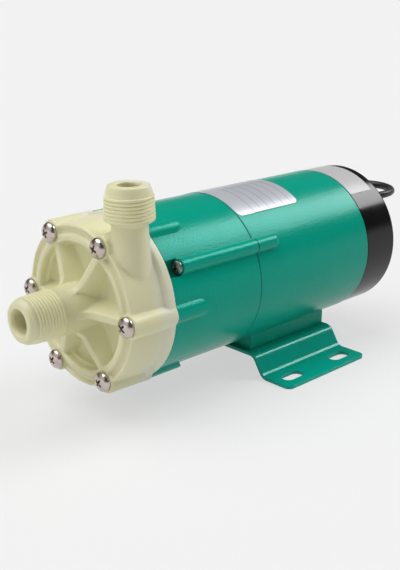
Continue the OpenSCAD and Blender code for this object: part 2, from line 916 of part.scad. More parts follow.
module rear_end_shield() {
    color("#a9adb0")
        difference() {
            turned([[0, rear_shield], [spigot_r, rear_shield], [spigot_r, rear_shield - shield_t],
                [shield_hub_r, rear_shield - shield_t], [shield_hub_r, rear_bearing],
                [bearing_r + seat_gap, rear_bearing],
                [bearing_r + seat_gap, rear_bearing + bearing_w + washer_t],
                [core_shaft_r, rear_bearing + bearing_w + washer_t],
                [core_shaft_r, shaft_back + shaft_end_gap],
                [0, shaft_back + shaft_end_gap]]);
            for (a = tie_clock)
                rod(a, pillar_circle, rear_shield - shield_t - 1, rear_shield + 1,
                    cover_screw_d / 2 + seat_gap);
            for (y = [-1, 1])
                on_axis(rear_shield - shield_t - 1)
                    translate([cap_drop + cap_size[2] / 2, y * clip_screw_y, 0])
                        cylinder(h = shield_t + 2, r = clip_screw_d / 2 + seat_gap);
        }
}

module stator_core() {
    tooth_gap = 2;
    color("#6f7478")
        on_axis(stack_front)
            linear_extrude(height = stack_len)
                difference() {
                    circle(r = housing_in - seat_gap);
                    circle(r = stator_bore);
                    for (i = [0:slot_count - 1])
                        rotate(i * 360 / slot_count)
                            translate([stator_bore - 1, -tooth_gap / 2])
                                square([slot_depth + 1, tooth_gap]);
                }
}

module end_windings() {
    inner = stator_bore + 3;
    outer = housing_in - 4;
    round_r = 3;
    color("#a65a2a")
        for (from = [stack_front - winding_reach, stack_back])
            on_axis(from)
                rotate_extrude()
                    translate([inner + round_r, round_r])
                        rounded_block(outer - inner - 2 * round_r, winding_reach - 2 * round_r, round_r);
}

// A rectangle grown by a corner radius, from true circles and squares
module rounded_block(w, h, r) {
    translate([-r, 0])
        square([w + 2 * r, h]);
    translate([0, -r])
        square([w, h + 2 * r]);
    for (x = [0, w], y = [0, h])
        translate([x, y])
            circle(r = r);
}

module rotor_core() {
    color("#7b8084")
        tube(stack_front, stack_back, rotor_r, core_shaft_r + seat_gap);
}

module rotor_end_rings() {
    color("#c4c8ca")
        for (from = [stack_front - end_ring_t, stack_back])
            tube(from, from + end_ring_t, rotor_r - 0.8, rotor_r - 9);
}

module motor_shaft() {
    shoulder_1 = front_bearing + bearing_w;
    shoulder_2 = rear_bearing;
    end_r = shaft_end_d / 2;
    step = hub_end + 1;
    color("#d0d3d5")
        turned([[0, shaft_front], [end_r - 0.5, shaft_front], [end_r, shaft_front + 0.5], [end_r, step],
            [bore_r, step], [bore_r, shoulder_1], [core_shaft_r, shoulder_1],
            [core_shaft_r, shoulder_2], [bore_r, shoulder_2], [bore_r, shaft_back], [0, shaft_back]]);
}

// Both bearings of the motor, drawn from their front faces
module at_bearings() {
    for (from = [front_bearing, rear_bearing])
        on_axis(from)
            children();
}

// Half of a bearing's section: a ring with its ball groove
module race(inner, outer) {
    rotate_extrude()
        difference() {
            translate([inner, 0])
                square([outer - inner, bearing_w]);
            translate([ball_circle, bearing_w / 2])
                circle(r = ball_r + ball_gap);
        }
}

module bearing_outer_rings() {
    color("#b9bdc0")
        at_bearings()
            race(ball_circle + land_gap, bearing_r);
}

module bearing_inner_rings() {
    color("#b9bdc0")
        at_bearings()
            race(bore_r + seat_gap, ball_circle - land_gap);
}

module bearing_balls() {
    color("#dfe2e4")
        at_bearings()
            for (i = [0:ball_count - 1])
                rotate(i * 360 / ball_count)
                    translate([ball_circle, 0, bearing_w / 2])
                        sphere(r = ball_r);
}

module bearing_cages() {
    cage_t = 1.2;
    cage_w = ball_r * 2 + 2;
    color("#c9a24a")
        at_bearings()
            difference() {
                translate([0, 0, (bearing_w - cage_w) / 2])
                    rotate_extrude()
                        translate([ball_circle - cage_t / 2, 0])
                            square([cage_t, cage_w]);
                for (i = [0:ball_count - 1])
                    rotate(i * 360 / ball_count)
                        translate([ball_circle - cage_t, 0, bearing_w / 2])
                            rotate([0, 90, 0])
                                cylinder(h = 2 * cage_t, r = ball_r + ball_gap);
            }
}

module wave_washer() {
    color("#8b8f92")
        tube(rear_bearing + bearing_w, rear_bearing + bearing_w + washer_t,
            bearing_r - 0.3, bearing_r - 2.6);
}

module rear_cover() {
    edge = 2;
    inner = cover_r - cover_wall;
    color(black)
        difference() {
            union() {
                turned(concat([[spigot_in, rear_shield], [spigot_r, rear_shield], [spigot_r, housing_end],
                    [cover_r - 0.5, housing_end], [cover_r, housing_end + 0.5]],
                    arc([cover_r - edge, cover_end - edge], edge, 0, 90),
                    [[0, cover_end], [0, cover_back], [inner - 1, cover_back], [inner, cover_back - 1],
                        [inner, housing_end + 3], [spigot_in, housing_end + 1]]));
                for (a = tie_clock)
                    rod(a, pillar_circle, rear_shield, cover_back + 0.5, pillar_r);
            }
            for (a = tie_clock) {
                rod(a, pillar_circle, rear_shield - 1, cover_end + 1, cover_screw_d / 2 + screw_gap);
                rod(a, pillar_circle, cover_end - head_pocket, cover_end + 1, pillar_r - 0.1);
            }
            on_sleeve(cover_back - 1)
                cylinder(h = cover_wall + 2, r = sleeve_neck_r + seat_gap);
        }
}

module cover_screws() {
    color(steel)
        for (a = tie_clock)
            on_axis(cover_end - head_pocket)
                clock(a)
                    translate([pillar_circle, 0, 0])
                        rotate([180, 0, 0]) {
                            pan_head(cover_head_d / 2, cover_head_h);
                            translate([0, 0, -eps])
                                cylinder(h = cover_end - head_pocket - rear_shield + shield_t,
                                    r = cover_screw_d / 2);
                        }
}

module terminal_block() {
    ways = 4;
    way_w = block_size[1] / ways;
    color("#e8e6df")
        translate([rear_shield - base_mid, -block_size[1] / 2, axis_h + block_rise])
            difference() {
                cube(block_size);
                for (i = [0:ways - 1])
                    translate([block_size[0] - 3, (i + 0.5) * way_w, block_size[2] / 2])
                        rotate([0, 90, 0])
                            cylinder(h = 4, r = way_w * 0.3);
                for (i = [1:ways - 1])
                    translate([block_size[0] - 4, i * way_w - 0.5, -1])
                        cube([5, 1, block_size[2] + 2]);
            }
}

module run_capacitor() {
    lug_h = 5;
    color("#dcdcd8")
        translate([rear_shield - base_mid, 0, axis_h - cap_drop - cap_size[2]]) {
            translate([0, -cap_size[1] / 2, 0])
                cube(cap_size);
            for (y = [-1, 1])
                translate([cap_size[0] - eps, y * cap_size[1] / 4 - 3, cap_size[2] / 2])
                    cube([lug_h, 6, 0.8]);
        }
}

module capacitor_clip() {
    strap_w = 7;
    ear = 8;
    hook = 3;
    half = cap_size[1] / 2 + seat_gap;
    reach = cap_size[0] + seat_gap;
    color("#b5b8ba")
        difference() {
            translate([rear_shield - base_mid, 0, axis_h - cap_drop - cap_size[2] / 2 - strap_w / 2])
                linear_extrude(height = strap_w)
                    for (side = [0, 1])
                        mirror([0, side])
                            polygon([[0, half], [0, half + ear], [strap_t, half + ear],
                                [strap_t, half + strap_t], [reach + strap_t, half + strap_t],
                                [reach + strap_t, half - hook], [reach, half - hook], [reach, half]]);
            for (y = [-1, 1])
                on_axis(rear_shield - 1)
                    translate([cap_drop + cap_size[2] / 2, y * clip_screw_y, 0])
                        cylinder(h = strap_t + 2, r = clip_screw_d / 2 + screw_gap);
        }
}

module clip_screws() {
    color(steel)
        for (y = [-1, 1])
            on_axis(rear_shield + strap_t)
                translate([cap_drop + cap_size[2] / 2, y * clip_screw_y, 0])
                    rotate([180, 0, 0]) {
                        pan_head(clip_head_d / 2, clip_head_h);
                        cylinder(h = strap_t + shield_t, r = clip_screw_d / 2);
                    }
}

// A place on the rear cover's back wall where the cord leaves
module on_sleeve(station) {
    on_axis(station)
        translate([-sleeve_up, sleeve_side, 0])
            children();
}

module cable_sleeve() {
    collar = 2.5;
    lip = 1.5;
    tip_r = cord_d / 2 + 1;
    rings = 4;
    ring_pitch = (sleeve_len - collar) / (rings + 1);
    taper = (sleeve_neck_r - tip_r) / (rings + 1);
    grooved = [[0.1, -0.4], [0.55, -0.4], [0.6, 0.6], [0.95, 0.6]];
    color(black)
        on_sleeve(0)
            rotate_extrude()
                polygon(concat([[0, cover_back - 2], [sleeve_neck_r + lip, cover_back - 2],
                    [sleeve_neck_r + lip, cover_back], [sleeve_neck_r, cover_back],
                    [sleeve_neck_r, cover_end], [sleeve_neck_r + 2, cover_end],
                    [sleeve_neck_r + 2, cover_end + collar]],
                    [for (i = [0:rings - 1], part = grooved)
                        [sleeve_neck_r + 0.6 - taper * (i + part[0]) + part[1],
                            cover_end + collar + (i + part[0]) * ring_pitch]],
                    [[tip_r, cover_end + sleeve_len - ring_pitch], [tip_r, cover_end + sleeve_len],
                        [0, cover_end + sleeve_len]]));
}

// Half of the base plate's bent section, from the middle to the foot's edge
function plate_side(top) =
    let (up = [top_half, plate_top - plate_t - plate_bend],
        r_up = plate_bend + (top ? plate_t : 0),
        r_low = plate_bend + (top ? 0 : plate_t),
        drop = plate_top - 2 * plate_t - 2 * plate_bend + (2 * plate_bend + plate_t) * cos(web_angle),
        run = drop / tan(web_angle) + (2 * plate_bend + plate_t) * sin(web_angle),
        low = [top_half + run, plate_t + plate_bend])
    concat(arc(up, r_up, 90, 90 - web_angle, 6), arc(low, r_low, 270 - web_angle, 270, 6),
        [[base_w / 2, low[1] - r_low]]);

// An outline walked backwards, and an outline on the other side
function back(points) = [for (i = [len(points) - 1:-1:0]) points[i]];
function mirrored(points) = [for (p = points) [-p[0], p[1]]];

module base_plate() {
    half_l = base_len / 2;
    half_w = base_w / 2;
    color(green)
        difference() {
            translate([-half_l, 0, 0])
                rotate([90, 0, 90])
                    linear_extrude(height = base_len)
                        polygon(concat(back(mirrored(plate_side(true))), plate_side(true),
                            back(plate_side(false)), mirrored(plate_side(false))));
            for (x = [-1, 1], y = [-1, 1]) {
                translate([x * slot_pitch_x / 2, y * slot_pitch_y / 2, -1])
                    plate_slot();
                translate([saddle_shift + x * base_screw_x, y * base_screw_y, 0])
                    cylinder(h = plate_top + 1, r = base_screw_d / 2 + screw_gap);
                translate([x * (half_l - corner_r), y * (half_w - corner_r), -1])
                    corner_cut(x, y);
            }
        }
}

// One slot of the base, along the pump
module plate_slot() {
    straight = slot_len - slot_w;
    translate([-straight / 2, -slot_w / 2, 0])
        cube([straight, slot_w, plate_t + 2]);
    for (x = [-1, 1])
        translate([x * straight / 2, 0, 0])
            cylinder(h = plate_t + 2, r = slot_w / 2);
}

// What is cut away outside one rounded corner of the foot
module corner_cut(x, y) {
    difference() {
        translate([x > 0 ? 0 : -corner_r - 1, y > 0 ? 0 : -corner_r - 1, 0])
            cube([corner_r + 1, corner_r + 1, plate_t + 2]);
        translate([0, 0, -1])
            cylinder(h = plate_t + 4, r = corner_r);
    }
}

module base_screws() {
    seat = plate_top - plate_t - base_head_h;
    color(steel)
        for (x = [-1, 1], y = [-1, 1])
            translate([saddle_shift + x * base_screw_x, y * base_screw_y, seat]) {
                cylinder(h = base_head_h, r = base_head_d / 2, $fn = 6);
                cylinder(h = base_head_h + plate_t + base_screw_reach, r = base_screw_d / 2);
            }
}

// Sweeps a round section along points, with the first and last rings square to given ways
function unit(v) = v / norm(v);
function heading(points, i) = unit(points[min(i + 1, len(points) - 1)] - points[max(i - 1, 0)]);
function ring_at(point, way, r, sides) =
    let (side = unit(cross(way, [0, 0, 1])), rise = cross(side, way))
    [for (j = [0:sides - 1]) point + r * (cos(360 * j / sides) * side + sin(360 * j / sides) * rise)];

module swept_cord(points, first, last) {
    sides = 10;
    count = len(points);
    ways = [for (i = [0:count - 1]) i == 0 ? first : i == count - 1 ? last : heading(points, i)];
    rings = [for (i = [0:count - 1]) each ring_at(points[i], ways[i], cord_d / 2, sides)];
    walls = [for (i = [0:count - 2], j = [0:sides - 1], half = [0, 1])
        let (a = i * sides + j, b = i * sides + (j + 1) % sides)
        half == 0 ? [a, b, b + sides] : [a, b + sides, a + sides]];
    ends = [[for (j = [sides - 1:-1:0]) j], [for (j = [0:sides - 1]) (count - 1) * sides + j]];
    polyhedron(points = rings, faces = concat(walls, ends));
}

module power_cord() {
    color(black)
        swept_cord(lead_points, [1, 0, 0], [-1, 0, 0]);
}

module cord_tail() {
    color(black)
        swept_cord(tail_points, [1, 0, 0], [1, 0, 0]);
}

module cord_coil() {
    half_w = coil_turns_wide * cord_d / 2;
    high = coil_turns_high * cord_d;
    round_r = cord_d / 2;
    color(black)
        translate([coil_at[0], coil_at[1], coil_low])
            rotate_extrude()
                translate([coil_r - half_w + round_r, round_r])
                    rounded_block(2 * half_w - 2 * round_r, high - 2 * round_r, round_r);
}

module cord_tie() {
    half_w = coil_turns_wide * cord_d / 2 + 0.6;
    high = coil_turns_high * cord_d + 0.2;
    color("#d8d8d4")
        translate([coil_at[0] - coil_r, coil_at[1] + tie_w / 2, coil_low - 0.1])
            rotate([90, 0, 0])
                linear_extrude(height = tie_w)
                    difference() {
                        translate([-half_w - tie_t, -tie_t])
                            square([2 * half_w + 2 * tie_t, high + 2 * tie_t]);
                        translate([-half_w, 0])
                            square([2 * half_w, high]);
                    }
}

module plug_body() {
    neck = 8;
    color(black)
        translate(plug_at)
            union() {
                rotate([0, 90, 0])
                    cylinder(h = neck + 1, r1 = cord_d / 2 + 1, r2 = plug_size[2] / 2 - 2);
                translate([neck, 0, 0])
                    rotate([90, 0, 90])
                        linear_extrude(height = plug_size[0] - neck)
                            translate([-plug_size[1] / 2 + 4, -plug_size[2] / 2 + 4])
                                rounded_block(plug_size[1] - 8, plug_size[2] - 8, 4);
            }
}

module plug_pins() {
    color("#c2a24f")
        translate([plug_at[0] + plug_size[0], plug_at[1], plug_at[2]])
            for (pin = [[-7, -2, 30], [7, -2, -30], [0, 5, 90]])
                translate([0, pin[0], pin[1]])
                    rotate([pin[2], 0, 0])
                        translate([0, -pin_size[1] / 2, -pin_size[2] / 2])
                            cube(pin_size);
}

front_casing();
casing_screws();
threaded_inserts();
mouth_ring();
front_thrust_ring();
impeller();
impeller_shroud();
magnet_capsule();
capsule_cap();
inner_magnet();
impeller_bush();
spindle();
rear_thrust_washer();
rear_casing();
casing_seal();
drive_yoke();
drive_magnets();
drive_set_screw();
bracket();
bracket_screws();
motor_housing();
front_end_shield();
rear_end_shield();
stator_core();
end_windings();
rotor_core();
rotor_end_rings();
motor_shaft();
bearing_outer_rings();
bearing_inner_rings();
bearing_balls();
bearing_cages();
wave_washer();
rear_cover();
cover_screws();
terminal_block();
run_capacitor();
capacitor_clip();
clip_screws();
cable_sleeve();
base_plate();
base_screws();
power_cord();
cord_coil();
cord_tail();
cord_tie();
plug_body();
plug_pins();
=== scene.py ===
"""Dresses the magnetic drive pump: cord, moulded casing, pipe threads, screws, labels, finishes, studio."""
import json
import math

import bmesh
import bpy
from mathutils import Matrix, Vector


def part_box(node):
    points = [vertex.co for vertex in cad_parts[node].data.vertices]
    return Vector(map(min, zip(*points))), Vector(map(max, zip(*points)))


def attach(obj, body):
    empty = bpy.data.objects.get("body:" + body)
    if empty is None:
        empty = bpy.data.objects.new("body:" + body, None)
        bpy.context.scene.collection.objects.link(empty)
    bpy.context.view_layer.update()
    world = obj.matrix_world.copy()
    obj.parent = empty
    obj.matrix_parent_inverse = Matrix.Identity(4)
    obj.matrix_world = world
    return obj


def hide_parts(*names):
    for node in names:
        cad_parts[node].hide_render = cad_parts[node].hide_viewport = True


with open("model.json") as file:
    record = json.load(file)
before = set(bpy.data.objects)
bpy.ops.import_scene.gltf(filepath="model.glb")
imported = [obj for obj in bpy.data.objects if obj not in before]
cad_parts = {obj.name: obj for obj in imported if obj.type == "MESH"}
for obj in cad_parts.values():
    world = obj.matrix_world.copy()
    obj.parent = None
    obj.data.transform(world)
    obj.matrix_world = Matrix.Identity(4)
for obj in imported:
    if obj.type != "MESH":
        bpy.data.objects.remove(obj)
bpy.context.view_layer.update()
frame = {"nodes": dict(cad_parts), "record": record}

# Millimetres in metres, and the distance in metres below which two corners are one
MM = 0.001
MERGE = 1e-6
BODY = "pump_frame"
nodes = frame["nodes"]
mounts = {mount["name"]: mount for mount in frame["record"]["mounts"]}
suction = mounts["suction_thread"]
discharge = mounts["discharge_thread"]
AXIS_HIGH = suction["pos_m"][2]
scene = bpy.context.scene
scene.view_settings.view_transform = "Standard"


def linked(name, data):
    """A new object in the scene, at the origin."""
    made = bpy.data.objects.new(name, data)
    scene.collection.objects.link(made)
    return made


def piece(name, mesh):
    """A new object that moves with the pump's frame."""
    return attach(linked(name, mesh), BODY)


def aim(made, back):
    """Turns a camera or a lamp so that the given direction lies behind it."""
    made.rotation_mode = "QUATERNION"
    made.rotation_quaternion = (-Vector(back)).to_track_quat("-Z", "Y")


def settled(made):
    """The object's mesh with its modifiers worked in, as a plain mesh."""
    graph = bpy.context.evaluated_depsgraph_get()
    mesh = bpy.data.meshes.new_from_object(
        made.evaluated_get(graph), preserve_all_data_layers=True, depsgraph=graph)
    made.modifiers.clear()
    return mesh


def opened(mesh):
    """A mesh opened for editing."""
    work = bmesh.new()
    work.from_mesh(mesh)
    return work


def merged(mesh):
    """A mesh of loose triangles opened for editing, with its doubled corners merged."""
    work = opened(mesh)
    bmesh.ops.remove_doubles(work, verts=work.verts, dist=MERGE)
    return work


def written(work, mesh):
    """Writes an edited mesh and closes the editing."""
    work.to_mesh(mesh)
    work.free()
    return mesh


def shaded(mesh, sharp):
    """Shades a mesh smooth, apart from edges that are sharper than the angle in degrees."""
    mesh.shade_smooth()
    mesh.set_sharp_from_angle(angle=math.radians(sharp))
    return mesh


# Camera, solved from the casing screws, the seams and the base in the photograph
CAMERA_AT = Vector((-403.75, -372.34, 225.0)) * MM
CAMERA_BACK = (-0.65258, -0.68811, 0.31724)
CAMERA_LENS = 57.3
CAMERA_SENSOR = 36.0
CAMERA_REACH = (0.01, 100.0)
camera = linked("camera", bpy.data.cameras.new("camera"))
camera.data.lens = CAMERA_LENS
camera.data.sensor_width = CAMERA_SENSOR
camera.data.clip_start, camera.data.clip_end = CAMERA_REACH
camera.location = CAMERA_AT
aim(camera, CAMERA_BACK)
scene.camera = camera


# Supply cord: the route of the CAD cord in millimetres, from the sleeve's tip to the coil and on to the plug
CORD_D = 5.0
CORD_STEPS = 4
CORD_ROUNDNESS = 5
CORD_SHARP = 60
LEAD = [(103, 20, 88), (111, 19, 88), (118, 14.5, 88), (122.5, 7.5, 88), (124, -1, 88), (121.5, -10, 88),
        (115, -17, 88), (106, -20, 88), (97, -18.5, 87.6), (90, -13, 87), (86, -5, 86), (86, 5, 83),
        (87, 16, 79), (88.5, 27, 75.5), (89, 37, 70.5), (88.5, 46, 63), (87, 53, 52), (84, 58.5, 40),
        (79.5, 63, 28.5), (73, 67, 18.5), (64.5, 71, 10.5), (54.5, 74.5, 5.8), (44, 77.5, 4), (33, 80, 3.6),
        (22, 82, 3.5), (11, 83, 3.5)]
TAIL = [(10, 149, 8.6), (20, 149, 9.2), (30, 149, 10), (40, 149, 10)]
COIL_AT = (0.0, 116.0)
COIL_OUTER_R = 33.0
COIL_LOW = 3.5
COIL_START = -90
COIL_TURNS = 4.5
COIL_CLIMB = 0.7
COIL_STEPS = 24


def coil_points():
    """Turns that wind inwards on the floor, climb by one cord at the middle, and wind outwards on top."""
    points = []
    for i in range(int(COIL_TURNS * COIL_STEPS) + 1):
        turn = i / COIL_STEPS
        radius = COIL_OUTER_R - CORD_D * min(turn, COIL_TURNS - turn)
        climb = min(max((turn - COIL_TURNS / 2 + COIL_CLIMB / 2) / COIL_CLIMB, 0.0), 1.0)
        height = COIL_LOW + CORD_D * climb * climb * (3 - 2 * climb)
        angle = math.radians(COIL_START) - turn * 2 * math.pi
        points.append((COIL_AT[0] + radius * math.cos(angle), COIL_AT[1] + radius * math.sin(angle), height))
    return points


def smoothed(points, steps):
    """A smooth line through the points, with a few steps between each two."""
    knots = [Vector(p) for p in points]
    knots = [2 * knots[0] - knots[1]] + knots + [2 * knots[-1] - knots[-2]]
    line = []
    for a, b, c, d in zip(knots, knots[1:], knots[2:], knots[3:]):
        for step in range(steps):
            t = step / steps
            line.append(0.5 * (2 * b + (c - a) * t + (2 * a - 5 * b + 4 * c - d) * t ** 2
                               + (3 * b - a - 3 * c + d) * t ** 3))
    return line + [knots[-2]]


def make_cord():
    """One free length of round cord along its route."""
    route = [p * MM for p in smoothed(LEAD + coil_points() + TAIL, CORD_STEPS)]
    curve = bpy.data.curves.new("supply_cord", "CURVE")
    curve.dimensions = "3D"
    curve.bevel_depth = CORD_D / 2 * MM
    curve.bevel_resolution = CORD_ROUNDNESS
    curve.use_fill_caps = True
    line = curve.splines.new("POLY")
    line.points.add(len(route) - 1)
    for knot, place in zip(line.points, route):
        knot.co = (*place, 1.0)
    drawn = linked("supply_cord_line", curve)
    mesh = settled(drawn)
    bpy.data.objects.remove(drawn)
    made = piece("supply_cord", shaded(mesh, CORD_SHARP))
    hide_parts("power_cord", "cord_coil", "cord_tail")
    return made


supply_cord = make_cord()


# Finishes
def linear(code):
    """An sRGB hex value as linear red, green, blue and alpha."""
    parts = [int(code[i:i + 2], 16) / 255 for i in (1, 3, 5)]
    return [c / 12.92 if c <= 0.04045 else ((c + 0.055) / 1.055) ** 2.4 for c in parts] + [1.0]


def add(tree, kind, sockets=(), **settings):
    """Adds a node: settings are its own choices, sockets maps inputs to values or to outputs to link."""
    made = tree.nodes.new(kind)
    for key, value in settings.items():
        setattr(made, key, value)
    for key, value in dict(sockets).items():
        if isinstance(value, bpy.types.NodeSocket):
            tree.links.new(value, made.inputs[key])
        else:
            made.inputs[key].default_value = value
    return made


# A Mix node's colour sockets, which share their names with its other sockets
COLOR_A, COLOR_B, COLOR_OUT = 6, 7, 2
# Most of a noise lies between these values
NOISE_SPAN = (0.3, 0.7)
PATCH_DETAIL = 4.0
GRAIN_DETAIL = 2.0
EDGE_SAMPLES = 6
# A wave texture's phase over one unit of length at scale 1
WAVE_PHASE = 20


def empty_material(name):
    """A new material without nodes, and its tree."""
    made = bpy.data.materials.new(name)
    made.use_nodes = True
    made.node_tree.nodes.clear()
    return made, made.node_tree


def surface(name, tones, patch, rough, grain, edge=0.0, lines=None, joints=None, **shader):
    """A made surface, with its sizes in millimetres: two tones in soft patches, roughness that drifts
    with them, a grain given as (width, depth), and soft edges. lines, given as (layout, axis, spacing,
    depth), are the marks of its making about the pump's axis, and joints, given as (places on x,
    width, tone), are bands of another tone across x that paint light and shade along seams."""
    made, tree = empty_material(name)
    place = add(tree, "ShaderNodeTexCoord").outputs["Object"]
    drift = add(tree, "ShaderNodeTexNoise", {
        "Vector": place, "Scale": 1 / (patch * MM), "Detail": PATCH_DETAIL}).outputs["Fac"]
    tone = add(tree, "ShaderNodeMix", {
        "Factor": drift, COLOR_A: linear(tones[0]), COLOR_B: linear(tones[1])}, data_type="RGBA")
    # Bands of another tone across x: painted shade in the gap of a joint, painted glow along a thin rim
    if joints:
        places, wide, seam_paint_tone = joints
        across = add(tree, "ShaderNodeSeparateXYZ", {"Vector": place}).outputs["X"]
        for x in places:
            off = add(tree, "ShaderNodeMath", {0: across, 1: x}, operation="SUBTRACT")
            off = add(tree, "ShaderNodeMath", {0: off.outputs[0]}, operation="ABSOLUTE")
            clear = add(tree, "ShaderNodeMapRange", {
                "Value": off.outputs[0], "From Min": wide * MM / 4, "From Max": wide * MM / 2})
            tone = add(tree, "ShaderNodeMix", {
                "Factor": clear.outputs["Result"], COLOR_A: linear(seam_paint_tone),
                COLOR_B: tone.outputs[COLOR_OUT]}, data_type="RGBA")
    grit = add(tree, "ShaderNodeTexNoise", {
        "Vector": place, "Scale": 1 / (grain[0] * MM), "Detail": GRAIN_DETAIL})
    polish = add(tree, "ShaderNodeMapRange", {
        "Value": drift, "From Min": NOISE_SPAN[0], "From Max": NOISE_SPAN[1],
        "To Min": rough[0], "To Max": rough[1]})
    bump = add(tree, "ShaderNodeBump", {
        "Height": grit.outputs["Fac"], "Strength": 1.0, "Distance": grain[1] * MM})
    if edge:
        rounded = add(tree, "ShaderNodeBevel", {"Radius": edge * MM}, samples=EDGE_SAMPLES)
        tree.links.new(rounded.outputs["Normal"], bump.inputs["Normal"])
    if lines:
        layout, axis, spacing, deep = lines
        centred = add(tree, "ShaderNodeMapping", {"Vector": place, "Location": (0.0, 0.0, -AXIS_HIGH)})
        marks = add(tree, "ShaderNodeTexWave", {
            "Vector": centred.outputs["Vector"], "Scale": 2 * math.pi / (WAVE_PHASE * spacing * MM)},
            wave_type=layout, **{layout.lower() + "_direction": axis})
        bump = add(tree, "ShaderNodeBump", {
            "Height": marks.outputs["Fac"], "Strength": 1.0, "Distance": deep * MM,
            "Normal": bump.outputs["Normal"]})
    body = add(tree, "ShaderNodeBsdfPrincipled", {
        "Base Color": tone.outputs[COLOR_OUT], "Roughness": polish.outputs["Result"],
        "Normal": bump.outputs["Normal"], **shader})
    add(tree, "ShaderNodeOutputMaterial", {"Surface": body.outputs["BSDF"]})
    return made


METAL = {"Metallic": 1.0}
bracket_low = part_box("bracket")[0]
housing_low, housing_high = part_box("motor_housing")

# Natural polypropylene, moulded: ivory, waxy, a little see-through at the edges, with a soft satin face, and
# paler along the rim that meets the bracket, as painted light for the whitish glow of the translucent rim
natural_polypropylene = surface(
    "natural_polypropylene", ("#ebe8c6", "#e3dfb1"), patch=26, rough=(0.30, 0.40), grain=(0.9, 0.012),
    joints=((bracket_low.x,), 30, "#e7e6cd"),
    **{"Subsurface Weight": 0.35, "Subsurface Radius": (1.0, 0.86, 0.36), "Subsurface Scale": 3.0 * MM,
       "IOR": 1.49})
# The same plastic on the threads, whose thin ridges let no light travel sideways, painted a little paler
# than
# on the casing: a painted glow that lightens the shade in the grooves between the ridges
thread_polypropylene_painted_glow = surface(
    "thread_polypropylene_painted_glow", ("#f1eec6", "#ebe7b5"), patch=26, rough=(0.34, 0.44), grain=(0.9, 0.006),
    **{"IOR": 1.49})
# Textured enamel on cast aluminium: the grit, 0.4 mm in truth, is drawn at 1.2 mm so that it shows, and the
# dark lines at the bracket's joint with casing and with housing are painted shade for the gaps there, 0.2 mm
# in truth and drawn at 0.8 mm
green_textured_enamel = surface(
    "green_textured_enamel", ("#04a58c", "#029a82"), patch=30, rough=(0.19, 0.25), grain=(1.2, 0.14),
    edge=0.5, joints=((bracket_low.x, housing_low.x), 0.8, "#033128"),
    **{"Specular IOR Level": 0.26, "Specular Tint": linear("#70fffc")})
# The same enamel on bent sheet steel, smoother than on the casting, and paler: a little in its own tone
# and more as painted light, which lifts the base out of the shade that the body casts on it
sheet_enamel_with_painted_light = surface(
    "sheet_enamel_with_painted_light", ("#06b8a2", "#04ac96"), patch=24, rough=(0.16, 0.22), grain=(0.9, 0.008),
    edge=0.45, **{"Specular IOR Level": 0.42, "Specular Tint": linear("#b4fff8")})
# Black ABS, moulded: a satin gloss that carries one broad reflection
black_abs = surface(
    "black_abs", ("#0e0e0f", "#131314"), patch=20, rough=(0.13, 0.20), grain=(0.8, 0.005), edge=0.4,
    **{"Specular IOR Level": 0.26})
# Polished stainless steel of the casing screws: mirror-like with faint drifts
polished_stainless = surface(
    "polished_stainless", ("#d3c7c0", "#bfb2ab"), patch=6, rough=(0.20, 0.30), grain=(0.7, 0.003), **METAL)
# Zinc-plated steel: grey, a little cloudy
zinc_plated_steel = surface(
    "zinc_plated_steel", ("#b9bcc0", "#a3a6ab"), patch=5, rough=(0.24, 0.40), grain=(0.6, 0.006),
    edge=0.15, **METAL)
# Chromated steel of the bracket screws: dull olive grey, dark in its notch
chromated_steel = surface(
    "chromated_steel", ("#8d9a95", "#747f7b"), patch=4, rough=(0.30, 0.40), grain=(0.6, 0.005), **METAL)
# Turned brass: warm, with the lathe's fine rings
turned_brass = surface(
    "turned_brass", ("#c9a85a", "#b8954a"), patch=6, rough=(0.20, 0.32), grain=(0.5, 0.004), edge=0.1,
    lines=("RINGS", "X", 0.5, 0.003), **METAL)
# Alumina ceramic, ground: cream white, close-grained and smooth
ground_alumina = surface(
    "ground_alumina", ("#f3efe2", "#ebe6d4"), patch=8, rough=(0.16, 0.26), grain=(0.4, 0.002), edge=0.12,
    **{"IOR": 1.76})
# Carbon-graphite bush: dull black with a grey sheen
carbon_graphite = surface(
    "carbon_graphite", ("#2a2a2c", "#38383a"), patch=3, rough=(0.38, 0.55), grain=(0.4, 0.006), edge=0.12)
# Sintered ferrite magnets: dark grey, matt, faintly speckled
sintered_ferrite = surface(
    "sintered_ferrite", ("#414144", "#535356"), patch=2.5, rough=(0.50, 0.68), grain=(0.5, 0.012), edge=0.2)
# Glass-filled polypropylene of the magnet capsule: dark slate with a fibre grain
filled_polypropylene = surface(
    "filled_polypropylene", ("#37444c", "#2f3a41"), patch=7, rough=(0.40, 0.52), grain=(0.7, 0.010),
    edge=0.2)
# PTFE of the mouth ring: dead white and slippery
turned_ptfe = surface(
    "turned_ptfe", ("#f1efe9", "#e7e4dc"), patch=8, rough=(0.34, 0.44), grain=(0.5, 0.004), edge=0.12,
    lines=("RINGS", "X", 0.6, 0.004))
# Seal rubber: black, matt, with a faint bloom
seal_rubber = surface(
    "seal_rubber", ("#211e1c", "#2c2927"), patch=5, rough=(0.55, 0.72), grain=(0.5, 0.006))
# Turned steel of the yoke: bright rings left by the tool
turned_steel = surface(
    "turned_steel", ("#9b9fa4", "#85898e"), patch=12, rough=(0.26, 0.38), grain=(0.6, 0.004), edge=0.2,
    lines=("RINGS", "X", 0.7, 0.006), **METAL)
# Ground shaft steel: smooth, with very fine rings on its ends
ground_steel = surface(
    "ground_steel", ("#d2d5d8", "#c0c4c7"), patch=14, rough=(0.14, 0.24), grain=(0.4, 0.002), edge=0.15,
    lines=("RINGS", "X", 0.35, 0.002), **METAL)
# Bearing steel: hard, bright and almost without texture
bearing_steel = surface(
    "bearing_steel", ("#d6d9dc", "#c8cbce"), patch=6, rough=(0.08, 0.16), grain=(0.4, 0.001), edge=0.1,
    **METAL)
